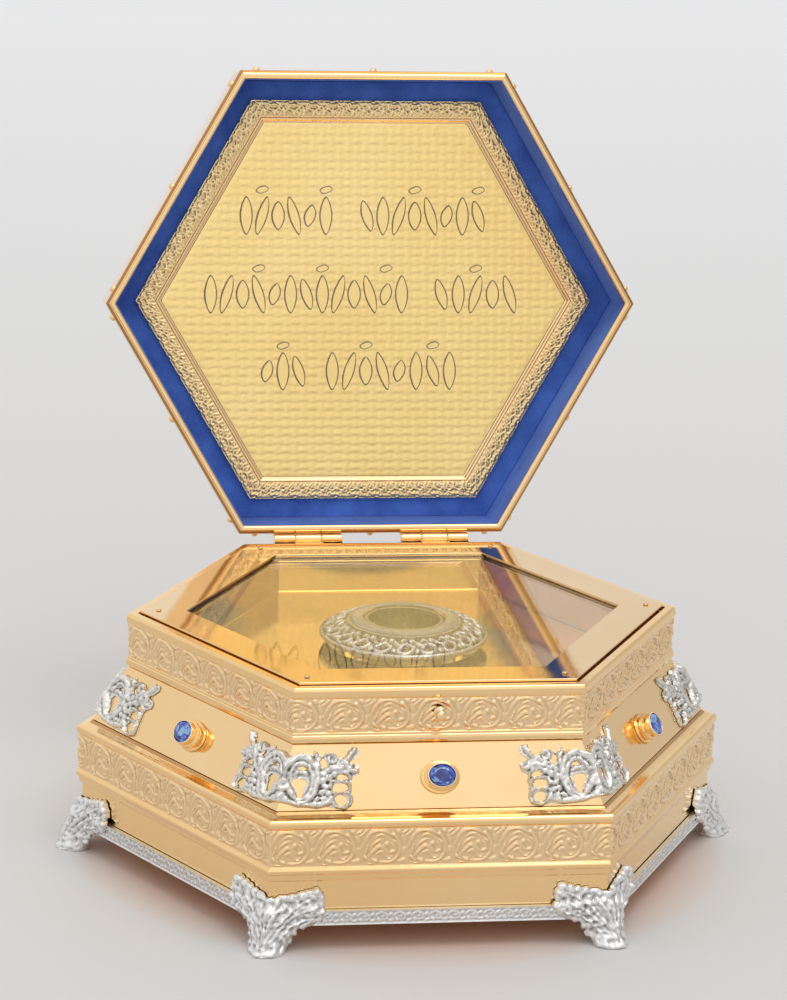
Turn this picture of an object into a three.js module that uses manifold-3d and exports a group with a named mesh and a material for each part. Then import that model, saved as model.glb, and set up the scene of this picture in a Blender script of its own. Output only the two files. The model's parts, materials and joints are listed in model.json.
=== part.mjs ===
// Hexagonal reliquary casket with a hinged lid, standing open on six leaf-cast feet.
// Millimetres, +Z up. The hexagon's corners lie on +X and -X, the front face looks along -Y
// and the lid hinges at +Y. The group is moved at the end so that its box stands on z = 0, centred.
import * as THREE from "three";
import { mergeVertices } from "three/addons/utils/BufferGeometryUtils.js";
import Module from "manifold-3d";

const wasm = await Module();
wasm.setup();

// ---------------------------------------------------------------- driving dimensions
const GAP = 0.3; // clearance between neighbouring pieces
const COS30 = Math.cos(Math.PI / 6);
const DEG = Math.PI / 180;

const LOWER = { r: 120, wall: 117.8, inner: 114.4, bottom: 9, top: 47.4, fieldLow: 31.0, fieldHigh: 43.8 };
const MIDDLE = { rLow: 114.2, rHigh: 101.3, bottom: 49.2, top: 69.5, thick: 3.2 };
const UPPER = {
  r: 102.2,
  field: 101.4,
  inner: 98.1,
  bottom: 69.75,
  top: 89.75,
  fieldLow: 73.9,
  fieldHigh: 85.7,
};
const STRIP = { rIn: 118.15, rOut: 119.6, bottom: 9, top: 14.3 };
const PLATE = { r: 97.6, opening: 80.3, bottom: 88.2, top: 90.6, lip: 1.0, seat: 83.1 };
const TRAY = { r: 78.2, wall: 1.6, floor: 75, rim: 87.1, flange: 93.7 };
const CAPSULE = { base: 27.5, ringIn: 20.2, ringOut: 31.0, cup: 14.4, top: 85.7 };
const LID = { r: 103.9, rimIn: 100.3, inner: 101.3, height: 28.9, roof: 1.6, bottom: UPPER.top + GAP };
const LID_PANEL = { strip: 91.0, stripIn: 84.6, panel: 81.0, face: 24.3 };
const HINGE = { x: 25, width: 26.7, middle: 10, r: 1.85, y: 92.1, z: 90.3, open: 99.6 };
const GEM = { long: 10, short: 8, along: 10.7 };
const FOOT = { r: 127.3, wing: 19.6, top: 24, clear: 119.9 };

// ---------------------------------------------------------------- materials
const GOLD = { color: 0xe2b76f, roughness: 0.22, metalness: 1 };
const GOLD_BAND = { color: 0xe3bd80, roughness: 0.34, metalness: 1 };
const GOLD_DEEP = { color: 0xe0a040, roughness: 0.2, metalness: 1 };
const SILVER = { color: 0xc9c9cb, roughness: 0.28, metalness: 1 };
const SAPPHIRE = { color: 0x2b49c0, roughness: 0.05, metalness: 0 };
const CLEAR = { color: 0xe8eef0, roughness: 0.03, metalness: 0, transparent: true, opacity: 0.3 };
const VELVET = { color: 0x2a3f94, roughness: 0.95, metalness: 0 };

// ---------------------------------------------------------------- solids from geometry
function toSolid(geometry) {
  const bare = new THREE.BufferGeometry();
  const flat = geometry.index ? geometry.toNonIndexed() : geometry;
  bare.setAttribute("position", flat.getAttribute("position"));
  const merged = mergeVertices(bare, 1e-4);
  const index = merged.index.array;
  const kept = [];
  for (let i = 0; i < index.length; i += 3) {
    const [a, b, c] = [index[i], index[i + 1], index[i + 2]];
    if (a !== b && b !== c && a !== c) kept.push(a, b, c);
  }
  return new wasm.Manifold(
    new wasm.Mesh({
      numProp: 3,
      vertProperties: new Float32Array(merged.attributes.position.array),
      triVerts: new Uint32Array(kept),
    }),
  );
}

function toGeometry(solid) {
  const mesh = solid.getMesh();
  const geometry = new THREE.BufferGeometry();
  geometry.setAttribute("position", new THREE.BufferAttribute(mesh.vertProperties.slice(), 3));
  geometry.setIndex(new THREE.BufferAttribute(mesh.triVerts.slice(), 1));
  return geometry;
}

const join = (geometries) => toGeometry(wasm.Manifold.union(geometries.map(toSolid)));
const cut = (body, tools) =>
  toGeometry(toSolid(body).subtract(wasm.Manifold.union(tools.map(toSolid))));
const common = (a, b) => toGeometry(toSolid(a).intersect(toSolid(b)));

// A mirror image across the plane y = 0, with its faces turned back to point outwards.
function mirroredY(geometry) {
  const copy = (geometry.index ? geometry.toNonIndexed() : geometry.clone()).scale(1, -1, 1);
  const p = copy.getAttribute("position");
  for (let i = 0; i < p.count; i += 3) {
    const [x, y, z] = [p.getX(i + 1), p.getY(i + 1), p.getZ(i + 1)];
    p.setXYZ(i + 1, p.getX(i + 2), p.getY(i + 2), p.getZ(i + 2));
    p.setXYZ(i + 2, x, y, z);
  }
  return copy;
}

// ---------------------------------------------------------------- shape helpers
// Sweeps a closed profile of [radius, height] points round the axis in a number of straight sides.
// The profile runs anticlockwise seen with the radius to the right.
function sweep(profile, sides = 6, stretch = 1) {
  const at = (k, [r, z]) => {
    const angle = (2 * Math.PI * k) / sides;
    return [r * Math.cos(angle), r * Math.sin(angle) * stretch, z];
  };
  const points = [];
  for (let k = 0; k < sides; k++) {
    for (let i = 0; i < profile.length; i++) {
      const j = (i + 1) % profile.length;
      const [a, b] = [at(k, profile[i]), at(k + 1, profile[i])];
      const [c, d] = [at(k + 1, profile[j]), at(k, profile[j])];
      if (profile[i][0] > 0) points.push(...a, ...b, ...c);
      if (profile[j][0] > 0) points.push(...a, ...c, ...d);
    }
  }
  const geometry = new THREE.BufferGeometry();
  geometry.setAttribute("position", new THREE.Float32BufferAttribute(points, 3));
  return geometry;
}

const lathe = (profile, sides = 16, stretch = 1) => sweep(profile, sides, stretch);

// A flat shape given by its outline and holes, from height z0 to z1.
function slab(outline, holes, z0, z1) {
  const shape = new THREE.Shape(outline.map(([x, y]) => new THREE.Vector2(x, y)));
  for (const hole of holes) {
    shape.holes.push(new THREE.Path(hole.map(([x, y]) => new THREE.Vector2(x, y))));
  }
  return new THREE.ExtrudeGeometry(shape, { depth: z1 - z0, bevelEnabled: false }).translate(0, 0, z0);
}

const block = (x0, x1, y0, y1, z0, z1) =>
  new THREE.BoxGeometry(x1 - x0, y1 - y0, z1 - z0).translate((x0 + x1) / 2, (y0 + y1) / 2, (z0 + z1) / 2);

// A round or oval opening.
const oval = (x, y, a, b, turn = 0, count = 8) =>
  Array.from({ length: count }, (_, i) => {
    const t = (2 * Math.PI * i) / count;
    const [u, v] = [a * Math.cos(t), b * Math.sin(t)];
    return [x + u * Math.cos(turn) - v * Math.sin(turn), y + u * Math.sin(turn) + v * Math.cos(turn)];
  });

// A sharp ridge along points [x, y, lift] on a face at height z: `wide` across and `high`,
// narrowing to `taper` of that.
function ridge(points, wide, high, z, taper = 0.6) {
  const sections = points.map(([x, y, lift = 0], i) => {
    const before = points[Math.max(i - 1, 0)];
    const after = points[Math.min(i + 1, points.length - 1)];
    const along = new THREE.Vector2(after[0] - before[0], after[1] - before[1]).normalize();
    const size = 1 + ((taper - 1) * i) / (points.length - 1);
    const half = (wide / 2) * size;
    const base = z - 0.3;
    return [
      [x + along.y * half, y - along.x * half, base],
      [x - along.y * half, y + along.x * half, base],
      [x, y, z + lift + high * size],
    ];
  });
  return loft(sections);
}

// A closed skin over a row of sections, each a loop of the same number of points.
function loft(sections) {
  const out = [];
  const tri = (a, b, c) => out.push(...a, ...b, ...c);
  const sides = sections[0].length;
  for (let i = 0; i + 1 < sections.length; i++) {
    for (let k = 0; k < sides; k++) {
      const n = (k + 1) % sides;
      tri(sections[i][k], sections[i][n], sections[i + 1][n]);
      tri(sections[i][k], sections[i + 1][n], sections[i + 1][k]);
    }
  }
  const [first, last] = [sections[0], sections[sections.length - 1]];
  for (let k = 1; k + 1 < sides; k++) {
    tri(first[0], first[k + 1], first[k]);
    tri(last[0], last[k], last[k + 1]);
  }
  const geometry = new THREE.BufferGeometry();
  geometry.setAttribute("position", new THREE.Float32BufferAttribute(out, 3));
  return toSolid(geometry).volume() < 0 ? turned(geometry) : geometry;
}

// The same faces turned round.
function turned(geometry) {
  return mirroredY(geometry).scale(1, -1, 1);
}

// Points of an arc round (cx, cy) from angle a0 to a1 in degrees, its radius going from r0 to r1.
const arc = (cx, cy, r0, r1, a0, a1, count) =>
  Array.from({ length: count + 1 }, (_, i) => {
    const a = (a0 + ((a1 - a0) * i) / count) * DEG;
    const r = r0 + ((r1 - r0) * i) / count;
    return [cx + r * Math.cos(a), cy + r * Math.sin(a)];
  });

// Places a shape drawn on a face: x along the face, y up it and z out of it. The face's normal
// stands at `azimuth` degrees, its foot is `apothem` from the axis at height z, and it leans in by
// `lean` degrees.
function onFace(geometry, azimuth, apothem, z, lean = 0) {
  const out = new THREE.Vector3(Math.cos(azimuth * DEG), Math.sin(azimuth * DEG), 0);
  const along = new THREE.Vector3(-out.y, out.x, 0);
  const up = new THREE.Vector3(0, 0, Math.cos(lean * DEG)).addScaledVector(out, -Math.sin(lean * DEG));
  const normal = out.clone().multiplyScalar(Math.cos(lean * DEG));
  normal.z = Math.sin(lean * DEG);
  const matrix = new THREE.Matrix4().makeBasis(along, up, normal);
  matrix.setPosition(out.x * apothem, out.y * apothem, z);
  return geometry.clone().applyMatrix4(matrix);
}

// ---------------------------------------------------------------- the lower and upper tiers
// One unit of the stamped scroll band: a scroll that curls in round its own leaf tip, `h` high and centred.
function scrollUnit(h) {
  return ridge(arc(0, 0, 0.44 * h, 0.3 * h, 190, -30, 2), 2.6, 0.6, 0, 0.8);
}

function withScrolls(body, tier, fieldR, units) {
  const height = tier.fieldHigh - tier.fieldLow;
  const pitch = (fieldR - 4) / units;
  const apothem = fieldR * COS30;
  const pieces = [body];
  for (let face = 0; face < 6; face++) {
    for (let i = 0; i < units; i++) {
      const moved = scrollUnit(height).translate((i - (units - 1) / 2) * pitch, 0, 0);
      pieces.push(onFace(moved, 30 + 60 * face, apothem, (tier.fieldLow + tier.fieldHigh) / 2));
    }
  }
  return join(pieces);
}

const lowerField = LOWER.r - 0.8;
const lowerTier = withScrolls(
  sweep([
    [LOWER.wall, LOWER.bottom],
    [LOWER.wall, 24.9],
    [118.8, 25.2],
    [119.3, 27.6],
    [120.0, 27.9],
    [120.2, 29.2],
    [lowerField, LOWER.fieldLow - 0.6],
    [lowerField, LOWER.fieldHigh + 0.2],
    [119.9, 44.6],
    [120.2, 45.7],
    [119.9, 46.9],
    [119.0, LOWER.top],
    [117.2, LOWER.top + 0.2],
    [115.3, LOWER.top + 0.7],
    [MIDDLE.rLow + 0.1, MIDDLE.bottom - 0.2],
    [110.8, MIDDLE.bottom - 0.2],
    [110.8, 46.2],
    [LOWER.inner, 43],
    [LOWER.inner, LOWER.bottom],
  ]),
  LOWER,
  lowerField,
  7,
);

const upperTier = withScrolls(
  sweep([
    [101.2, UPPER.bottom],
    [102.1, UPPER.bottom + 0.2],
    [102.4, 71.2],
    [102.1, 72.4],
    [101.8, 72.6],
    [101.8, 73.4],
    [UPPER.field, UPPER.fieldLow - 0.2],
    [UPPER.field, UPPER.fieldHigh + 0.1],
    [101.9, 86.0],
    [102.3, 87.2],
    [102.1, 88.8],
    [101.3, UPPER.top],
    [PLATE.r + 0.4, UPPER.top],
    [PLATE.r + 0.4, PLATE.bottom - GAP],
    [94, PLATE.bottom - GAP],
    [94, 86],
    [UPPER.inner, 82],
    [UPPER.inner, UPPER.bottom],
  ]),
  UPPER,
  UPPER.field,
  6,
);

const middleTier = sweep([
  [MIDDLE.rLow, MIDDLE.bottom],
  [MIDDLE.rHigh, MIDDLE.top],
  [MIDDLE.rHigh - MIDDLE.thick, MIDDLE.top],
  [MIDDLE.rLow - MIDDLE.thick, MIDDLE.bottom],
]);
const middleDrop = (MIDDLE.rLow - MIDDLE.rHigh) * COS30;
const middleRise = MIDDLE.top - MIDDLE.bottom;
const middleLean = Math.atan2(middleDrop, middleRise) / DEG;
const middleSlope = Math.hypot(middleDrop, middleRise);
// how far the corner edge runs in along the face for each millimetre up the slope
const cornerRun = (MIDDLE.rLow - MIDDLE.rHigh) / 2 / middleSlope;

const basePlate = sweep([
  [0, LOWER.bottom],
  [LOWER.inner - GAP, LOWER.bottom],
  [LOWER.inner - GAP, LOWER.bottom + 2],
  [0, LOWER.bottom + 2],
]);
const baseStrip = sweep([
  [STRIP.rIn, STRIP.bottom],
  [STRIP.rOut - 0.4, STRIP.bottom],
  [STRIP.rOut, STRIP.bottom + 0.8],
  [STRIP.rOut, STRIP.top - 0.8],
  [STRIP.rOut - 0.4, STRIP.top],
  [STRIP.rIn, STRIP.top],
]);

// ---------------------------------------------------------------- top plate, glass and well
const framePlate = sweep([
  [PLATE.seat, PLATE.bottom],
  [PLATE.r, PLATE.bottom],
  [PLATE.r, PLATE.top - 0.3],
  [PLATE.r - 0.3, PLATE.top],
  [PLATE.opening + 0.3, PLATE.top],
  [PLATE.opening, PLATE.top - 0.3],
  [PLATE.opening, PLATE.top - PLATE.lip],
  [PLATE.seat, PLATE.top - PLATE.lip],
]);
const glassTop = PLATE.top - PLATE.lip - 0.2;
const glassPane = sweep([
  [0, glassTop - 2],
  [PLATE.seat - GAP, glassTop - 2],
  [PLATE.seat - GAP, glassTop],
  [0, glassTop],
]);
const wellTray = sweep([
  [0, TRAY.floor - TRAY.wall],
  [TRAY.r + TRAY.wall, TRAY.floor - TRAY.wall],
  [TRAY.r + TRAY.wall, TRAY.rim - TRAY.wall],
  [TRAY.flange, TRAY.rim - TRAY.wall],
  [TRAY.flange, TRAY.rim],
  [TRAY.r, TRAY.rim],
  [TRAY.r, TRAY.floor],
  [0, TRAY.floor],
]);

// ---------------------------------------------------------------- the relic capsule
const capsuleBase = TRAY.floor + 0.25;
const capsuleDish = lathe([
  [CAPSULE.cup + GAP, capsuleBase],
  [CAPSULE.base, capsuleBase],
  [CAPSULE.base + 0.4, capsuleBase + 5],
  [CAPSULE.ringOut - 0.6, CAPSULE.top - 3.6],
  [CAPSULE.ringIn - 0.2, CAPSULE.top - 3.3],
  [CAPSULE.ringIn - 0.4, CAPSULE.top - 0.6],
  [17.4, CAPSULE.top],
  [CAPSULE.cup + 0.6, CAPSULE.top - 0.5],
]);
const capsuleRing = lathe([
  [CAPSULE.ringIn, CAPSULE.top - 3.0],
  [CAPSULE.ringOut, CAPSULE.top - 3.2],
  [CAPSULE.ringOut + 0.2, CAPSULE.top - 2.2],
  [26, CAPSULE.top - 0.9],
  [CAPSULE.ringIn, CAPSULE.top - 1.0],
]);
const capsuleCup = lathe([
  [0, capsuleBase],
  [CAPSULE.cup, capsuleBase],
  [CAPSULE.cup, CAPSULE.top - 1],
  [CAPSULE.cup - 0.8, CAPSULE.top - 1],
  [CAPSULE.cup - 0.8, capsuleBase + 1],
  [0, capsuleBase + 1],
]);

// ---------------------------------------------------------------- gems and their settings
// Heights are measured out of the wall. The setting is an oval collet on a grooved foot.
const gemStretch = 0.84;
const gemSetting = lathe(
  [
    [0, GAP / 2],
    [7.0, GAP / 2],
    [7.0, 1.2],
    [5.5, 1.7],
    [6.3, 2.8],
    [5.4, 3.4],
    [5.7, 5.3],
    [5.0, 5.3],
    [0, 3.7],
  ],
  10,
  gemStretch,
);
const gemShape = GEM.short / GEM.long;
const gemStone = lathe(
  [
    [0, 4.2],
    [GEM.long / 2 - 0.15, 5.6],
    [GEM.long / 2 - 0.15, 5.9],
    [2.9, 6.8],
    [0, 6.8],
  ],
  8,
  gemShape,
);

// ---------------------------------------------------------------- pierced corner mounts
// One wing, drawn on the leaning wall: x from the wall's bottom corner, y up the slope.
function mountWing() {
  const corner = (v) => v * cornerRun - 1.5;
  const outline = [
    [corner(2.8), 2.8],
    [4.0, 2.5],
    [8.0, 1.2],
    [17.0, 1.4],
    [21.0, 0.5],
    [25.6, 0.6],
    [26.5, 3.4],
    [25.6, 6.2],
    [26.3, 9.6],
    [25.7, 12.0],
    [28.9, 12.8],
    [28.7, 15.3],
    [25.8, 15.9],
    [29.0, 19.6],
    [26.9, 21.4],
    [24.0, 18.0],
    [20.4, 19.8],
    [17.8, 19.0],
    [16.6, 17.2],
    [13.8, 20.8],
    ...arc(8.8, 14.0, 5.6, 5.6, 55, 140, 2),
    [corner(17.2), 17.2],
  ];
  const holes = [
    oval(9.0, 14.6, 2.1, 0.9, 0, 4),
    [[5.5, 9.6], [7.6, 4.5], [9.0, 4.6], [10.8, 9.6], [9.4, 10.9], [6.8, 10.9]],
    oval(22.8, 11.3, 2.1, 0.9, 0, 4),
    oval(22.0, 7.6, 2.4, 1.2, 0, 4),
    oval(22.0, 3.4, 2.1, 1.6, 0, 4),
  ];
  const plate = slab(outline, holes, 0, 1.5);
  const ridges = [
    ridge(arc(8.8, 12.6, 5.6, 5.6, 0, 165, 3), 2.2, 1.0, 1.5, 0.8),
    ridge([[14.8, 2.6], [15.6, 10.4], [18.4, 15.6]], 3.4, 1.2, 1.5),
  ];
  return join([plate, ...ridges]);
}

// The wing on the face whose normal stands at +30 degrees, trimmed at the corner and joined to its
// mirror image.
function cornerMount() {
  const start = -MIDDLE.rLow / 2;
  const flat = mountWing().translate(start, 0, GAP);
  const wing = onFace(flat, 30, MIDDLE.rLow * COS30, MIDDLE.bottom, middleLean);
  const side = block(0, 200, -0.1, 100, 0, 200);
  const half = common(wing, side);
  return join([half, mirroredY(half)]);
}

// ---------------------------------------------------------------- leaf-cast feet
// The leg under the corner: eight-sided sections down a curve that flares out to the toe.
function footLeg() {
  const sections = [
    [0, 115.5, FOOT.r, 6.2],
    [1.6, 115.8, FOOT.r + 0.2, 6.6],
    [4.4, 115.0, 125.2, 6.4],
    [10.0, 113.5, 123.4, 8.2],
    [17.6, 113.5, 121.0, 4.6],
  ];
  const rings = sections.map(([z, back, front, half]) =>
    oval((back + front) / 2, 0, (front - back) / 2, half, 0, 6).map(([x, y]) => [x, y, z]),
  );
  return loft(rings);
}

// One acanthus wing, drawn upright on the face: x from the corner, y is the height.
function footWing() {
  const outline = [
    [-1.4, 6.0],
    [4.4, 2.2],
    [10.0, 7.2],
    [17.6, 9.6],
    [19.2, 11.4],
    [19.2, 18.4],
    [FOOT.wing, 22.6],
    [15.6, FOOT.top],
    [13.6, 21.8],
    [6.2, 19.8],
    [2.6, 17.4],
    [-1.4, 17.4],
  ];
  const rib = ridge([[0.8, 7.6, 1.4], [8.8, 14.0], [18.6, 19.4]], 5.6, 2.0, 2.3, 0.7);
  return join([slab(outline, [], 0, 2.3), rib]);
}

function foot() {
  const apothem = FOOT.clear * COS30;
  const wing = onFace(footWing().translate(-FOOT.clear / 2, 0, 0), 30, apothem, 0);
  const half = common(wing, block(0, 200, -0.1, 100, 0, 60));
  const keepOut = sweep([
    [0, LOWER.bottom - 0.2],
    [FOOT.clear, LOWER.bottom - 0.2],
    [FOOT.clear, 60],
    [0, 60],
  ]);
  const legs = cut(footLeg(), [keepOut]);
  return join([legs, half, mirroredY(half)]);
}

// ---------------------------------------------------------------- small gold fittings
const screwTop = PLATE.top + 0.15;
const frameScrew = lathe(
  [
    [0, screwTop],
    [1.2, screwTop],
    [1.1, screwTop + 0.5],
    [0, screwTop + 0.8],
  ],
  6,
);
const latchButton = lathe(
  [
    [0, 0.15],
    [0.9, 0.15],
    [0.9, 0.8],
    [1.9, 1.4],
    [2.3, 2.7],
    [1.6, 4.2],
    [0, 4.9],
  ],
  8,
);

// ---------------------------------------------------------------- the two butt hinges
const barrel = (x0, x1, r, sides = 8) =>
  new THREE.CylinderGeometry(r, r, x1 - x0, sides)
    .rotateZ(Math.PI / 2)
    .translate((x0 + x1) / 2, HINGE.y, HINGE.z);

function hingeBase(x) {
  const [a, b, c] = [HINGE.width / 2, HINGE.middle / 2, 0.3];
  const back = UPPER.r * COS30 + 0.35;
  return join([
    block(x - a, x + a, back, back + 1.2, 79.5, 89.6),
    block(x - a, x - b - c, back, HINGE.y, 88.4, 89.6),
    block(x + b + c, x + a, back, HINGE.y, 88.4, 89.6),
    barrel(x - a, x - b - c, HINGE.r),
    barrel(x + b + c, x + a, HINGE.r),
    barrel(x - a + 1, x + a - 1, 0.8),
  ]);
}

// The lid's leaf, as it lies with the lid closed.
function hingeLid(x) {
  const [a, b] = [HINGE.width / 2, HINGE.middle / 2];
  const wall = LID.r * COS30 + 0.2;
  const leaf = block(x - a, x + a, wall, wall + 1.1, 92.7, 100.5);
  const web = block(x - b, x + b, wall, HINGE.y, 91.3, 93.4);
  return cut(join([leaf, web, barrel(x - b, x + b, HINGE.r)]), [barrel(x - b - 1, x + b + 1, 1.1)]);
}

// ---------------------------------------------------------------- the lid, drawn closed
const up = (h) => LID.bottom + h;

function lidShell() {
  const shell = sweep([
    [LID.rimIn, up(0)],
    [LID.rimIn + 2, up(0)],
    [LID.r - 0.7, up(0.5)],
    [LID.r, up(1.6)],
    [LID.r, up(LID.height - 4.4)],
    [LID.r - 0.7, up(LID.height - 2.6)],
    [LID.r - 2.4, up(LID.height - 1.9)],
    [LID.r - 5.4, up(LID.height - 1.6)],
    [LID.r - 8.0, up(LID.height - 0.2)],
    [LID.r - 9.4, up(LID.height)],
    [0, up(LID.height)],
    [0, up(LID.height - LID.roof)],
    [LID.inner, up(LID.height - LID.roof)],
    [LID.inner, up(1.3)],
    [LID.rimIn, up(1.3)],
  ]);
  const stud = lathe([[0, -0.4], [1.5, -0.4], [1.5, 0.4], [0, 1.5]], 5);
  const studs = [];
  for (let face = 0; face < 6; face++) {
    for (const place of [-0.44, 0, 0.44]) {
      const moved = stud.clone().translate(place * LID.r, 4.6, 0);
      studs.push(onFace(moved, 30 + 60 * face, LID.r * COS30, up(0)));
    }
  }
  return join([shell, ...studs]);
}

const lidLining = sweep([
  [LID.rimIn - 0.4, up(1.6)],
  [LID.inner - GAP, up(1.6)],
  [LID.inner - GAP, up(LID.height - LID.roof - 0.2)],
  [0, up(LID.height - LID.roof - 0.2)],
  [0, up(25.7)],
  [LID.rimIn - 0.4, up(25.7)],
]);
const lidBorder = sweep([
  [LID_PANEL.panel, up(25.1)],
  [LID_PANEL.stripIn, up(LID_PANEL.face + 0.1)],
  [LID_PANEL.stripIn + 1.4, up(LID_PANEL.face - 0.7)],
  [LID_PANEL.strip - 1.4, up(LID_PANEL.face - 0.7)],
  [LID_PANEL.strip, up(LID_PANEL.face + 0.1)],
  [LID_PANEL.strip, up(25.5)],
  [LID_PANEL.panel, up(25.5)],
]);
const lidPanel = sweep([
  [0, up(24.9)],
  [LID_PANEL.panel - GAP, up(24.9)],
  [LID_PANEL.panel - GAP, up(25.5)],
  [0, up(25.5)],
]);

// Turns a piece of the closed lid back about the hinge to where the lid stands open.
const opened = (geometry) =>
  geometry
    .clone()
    .translate(0, -HINGE.y, -HINGE.z)
    .rotateX(-HINGE.open * DEG)
    .translate(0, HINGE.y, HINGE.z);

// ---------------------------------------------------------------- the group
const group = new THREE.Group();
group.name = "reliquary_casket";

function add(name, geometry, look) {
  const mesh = new THREE.Mesh(geometry, new THREE.MeshStandardMaterial({ ...look, flatShading: true }));
  mesh.name = name;
  group.add(mesh);
  return mesh;
}

add("lower_tier", lowerTier, GOLD_BAND);
add("base_plate", basePlate, GOLD);
add("base_strip", baseStrip, SILVER);
add("middle_tier", middleTier, GOLD);
add("upper_tier", upperTier, GOLD_BAND);
add("frame_plate", framePlate, GOLD);
add("glass_pane", glassPane, CLEAR);
add("well_tray", wellTray, GOLD);
add("capsule_dish", capsuleDish, CLEAR);
add("capsule_ring", capsuleRing, SILVER);
add("capsule_cup", capsuleCup, GOLD);

const footGeometry = foot();
const mountGeometry = cornerMount();
const gemMiddle = MIDDLE.rLow * COS30;
for (let k = 0; k < 6; k++) {
  const n = k + 1;
  add(`foot_${n}`, footGeometry.clone(), SILVER).rotation.z = 60 * k * DEG;
  add(`corner_mount_${n}`, mountGeometry.clone(), SILVER).rotation.z = 60 * k * DEG;
  const lifted = (piece) => {
    const raised = piece.clone().translate(0, GEM.along, 0);
    return onFace(raised, 30 + 60 * k, gemMiddle, MIDDLE.bottom, middleLean);
  };
  add(`gem_setting_${n}`, lifted(gemSetting), GOLD_DEEP);
  add(`gem_stone_${n}`, lifted(gemStone), SAPPHIRE);
  const screw = add(`frame_screw_${n}`, frameScrew.clone().translate(90.5, 0, 0), GOLD);
  screw.rotation.z = 60 * k * DEG;
}
add("latch_button", onFace(latchButton, 270, UPPER.r * COS30, 80.6), GOLD_DEEP);

for (const [n, side] of [-1, 1].entries()) {
  add(`hinge_base_${n + 1}`, hingeBase(side * HINGE.x), GOLD);
  add(`hinge_lid_${n + 1}`, opened(hingeLid(side * HINGE.x)), GOLD);
}
add("lid_shell", opened(lidShell()), GOLD);
add("lid_lining", opened(lidLining), VELVET);
add("lid_border", opened(lidBorder), GOLD_BAND);
add("lid_panel", opened(lidPanel), GOLD_BAND);

// Stand the box of the whole object on z = 0, centred on the origin.
const box = new THREE.Box3().setFromObject(group, true);
group.position.set(-(box.min.x + box.max.x) / 2, -(box.min.y + box.max.y) / 2, -box.min.z);

export default group;
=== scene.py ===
import json
import math

import bpy
import numpy as np
from mathutils import Matrix, Vector


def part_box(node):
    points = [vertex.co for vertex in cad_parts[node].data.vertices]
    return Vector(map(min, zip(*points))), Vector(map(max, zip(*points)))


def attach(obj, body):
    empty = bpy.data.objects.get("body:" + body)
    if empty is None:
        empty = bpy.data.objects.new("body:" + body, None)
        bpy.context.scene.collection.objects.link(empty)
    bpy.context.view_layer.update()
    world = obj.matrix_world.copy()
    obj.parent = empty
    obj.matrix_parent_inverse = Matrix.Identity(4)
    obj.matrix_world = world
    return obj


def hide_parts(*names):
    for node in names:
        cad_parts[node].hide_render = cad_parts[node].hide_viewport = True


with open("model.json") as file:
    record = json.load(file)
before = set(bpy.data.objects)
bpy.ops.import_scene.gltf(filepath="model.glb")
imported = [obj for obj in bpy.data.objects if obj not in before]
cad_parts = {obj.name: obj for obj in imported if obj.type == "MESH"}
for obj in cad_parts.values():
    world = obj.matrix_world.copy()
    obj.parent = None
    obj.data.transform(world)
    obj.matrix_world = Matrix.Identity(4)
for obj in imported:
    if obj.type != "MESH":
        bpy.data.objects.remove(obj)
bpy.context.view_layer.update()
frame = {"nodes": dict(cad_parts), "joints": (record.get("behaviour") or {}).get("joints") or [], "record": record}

MM = 0.001
COS30 = math.cos(math.radians(30))


# ---------------------------------------------------------------- places from the frame
def node_box(name):
    """A CAD node's lowest and highest corners, in millimetres."""
    low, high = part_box(name)
    return np.array(low) / MM, np.array(high) / MM


HEX_Y = np.mean(node_box("frame_plate"), axis=0)[1]  # the hexagon's axis stands at x = 0, y = HEX_Y

# ---------------------------------------------------------------- camera
CAMERA = {"azimuth": -8.46, "elevation": 15.56, "roll": 1.85, "distance": 1283.88, "lens": 126.8}
TARGET = np.array([-5.4, HEX_Y, 131.77])


def add_camera():
    azimuth, elevation, roll = (math.radians(CAMERA[k]) for k in ("azimuth", "elevation", "roll"))
    back = Vector(
        (
            math.sin(azimuth) * math.cos(elevation),
            -math.cos(azimuth) * math.cos(elevation),
            math.sin(elevation),
        )
    )
    level = Vector((math.cos(azimuth), math.sin(azimuth), 0))
    above = back.cross(level)
    right = level * math.cos(roll) + above * math.sin(roll)
    up = above * math.cos(roll) - level * math.sin(roll)
    data = bpy.data.cameras.new("camera")
    data.lens = CAMERA["lens"]
    data.clip_end = 50
    camera = bpy.data.objects.new("camera", data)
    place = Vector(TARGET * MM) + back * CAMERA["distance"] * MM
    camera.matrix_world = Matrix(
        (
            (right.x, up.x, back.x, place.x),
            (right.y, up.y, back.y, place.y),
            (right.z, up.z, back.z, place.z),
            (0, 0, 0, 1),
        )
    )
    bpy.context.scene.collection.objects.link(camera)
    bpy.context.scene.camera = camera


add_camera()


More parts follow.
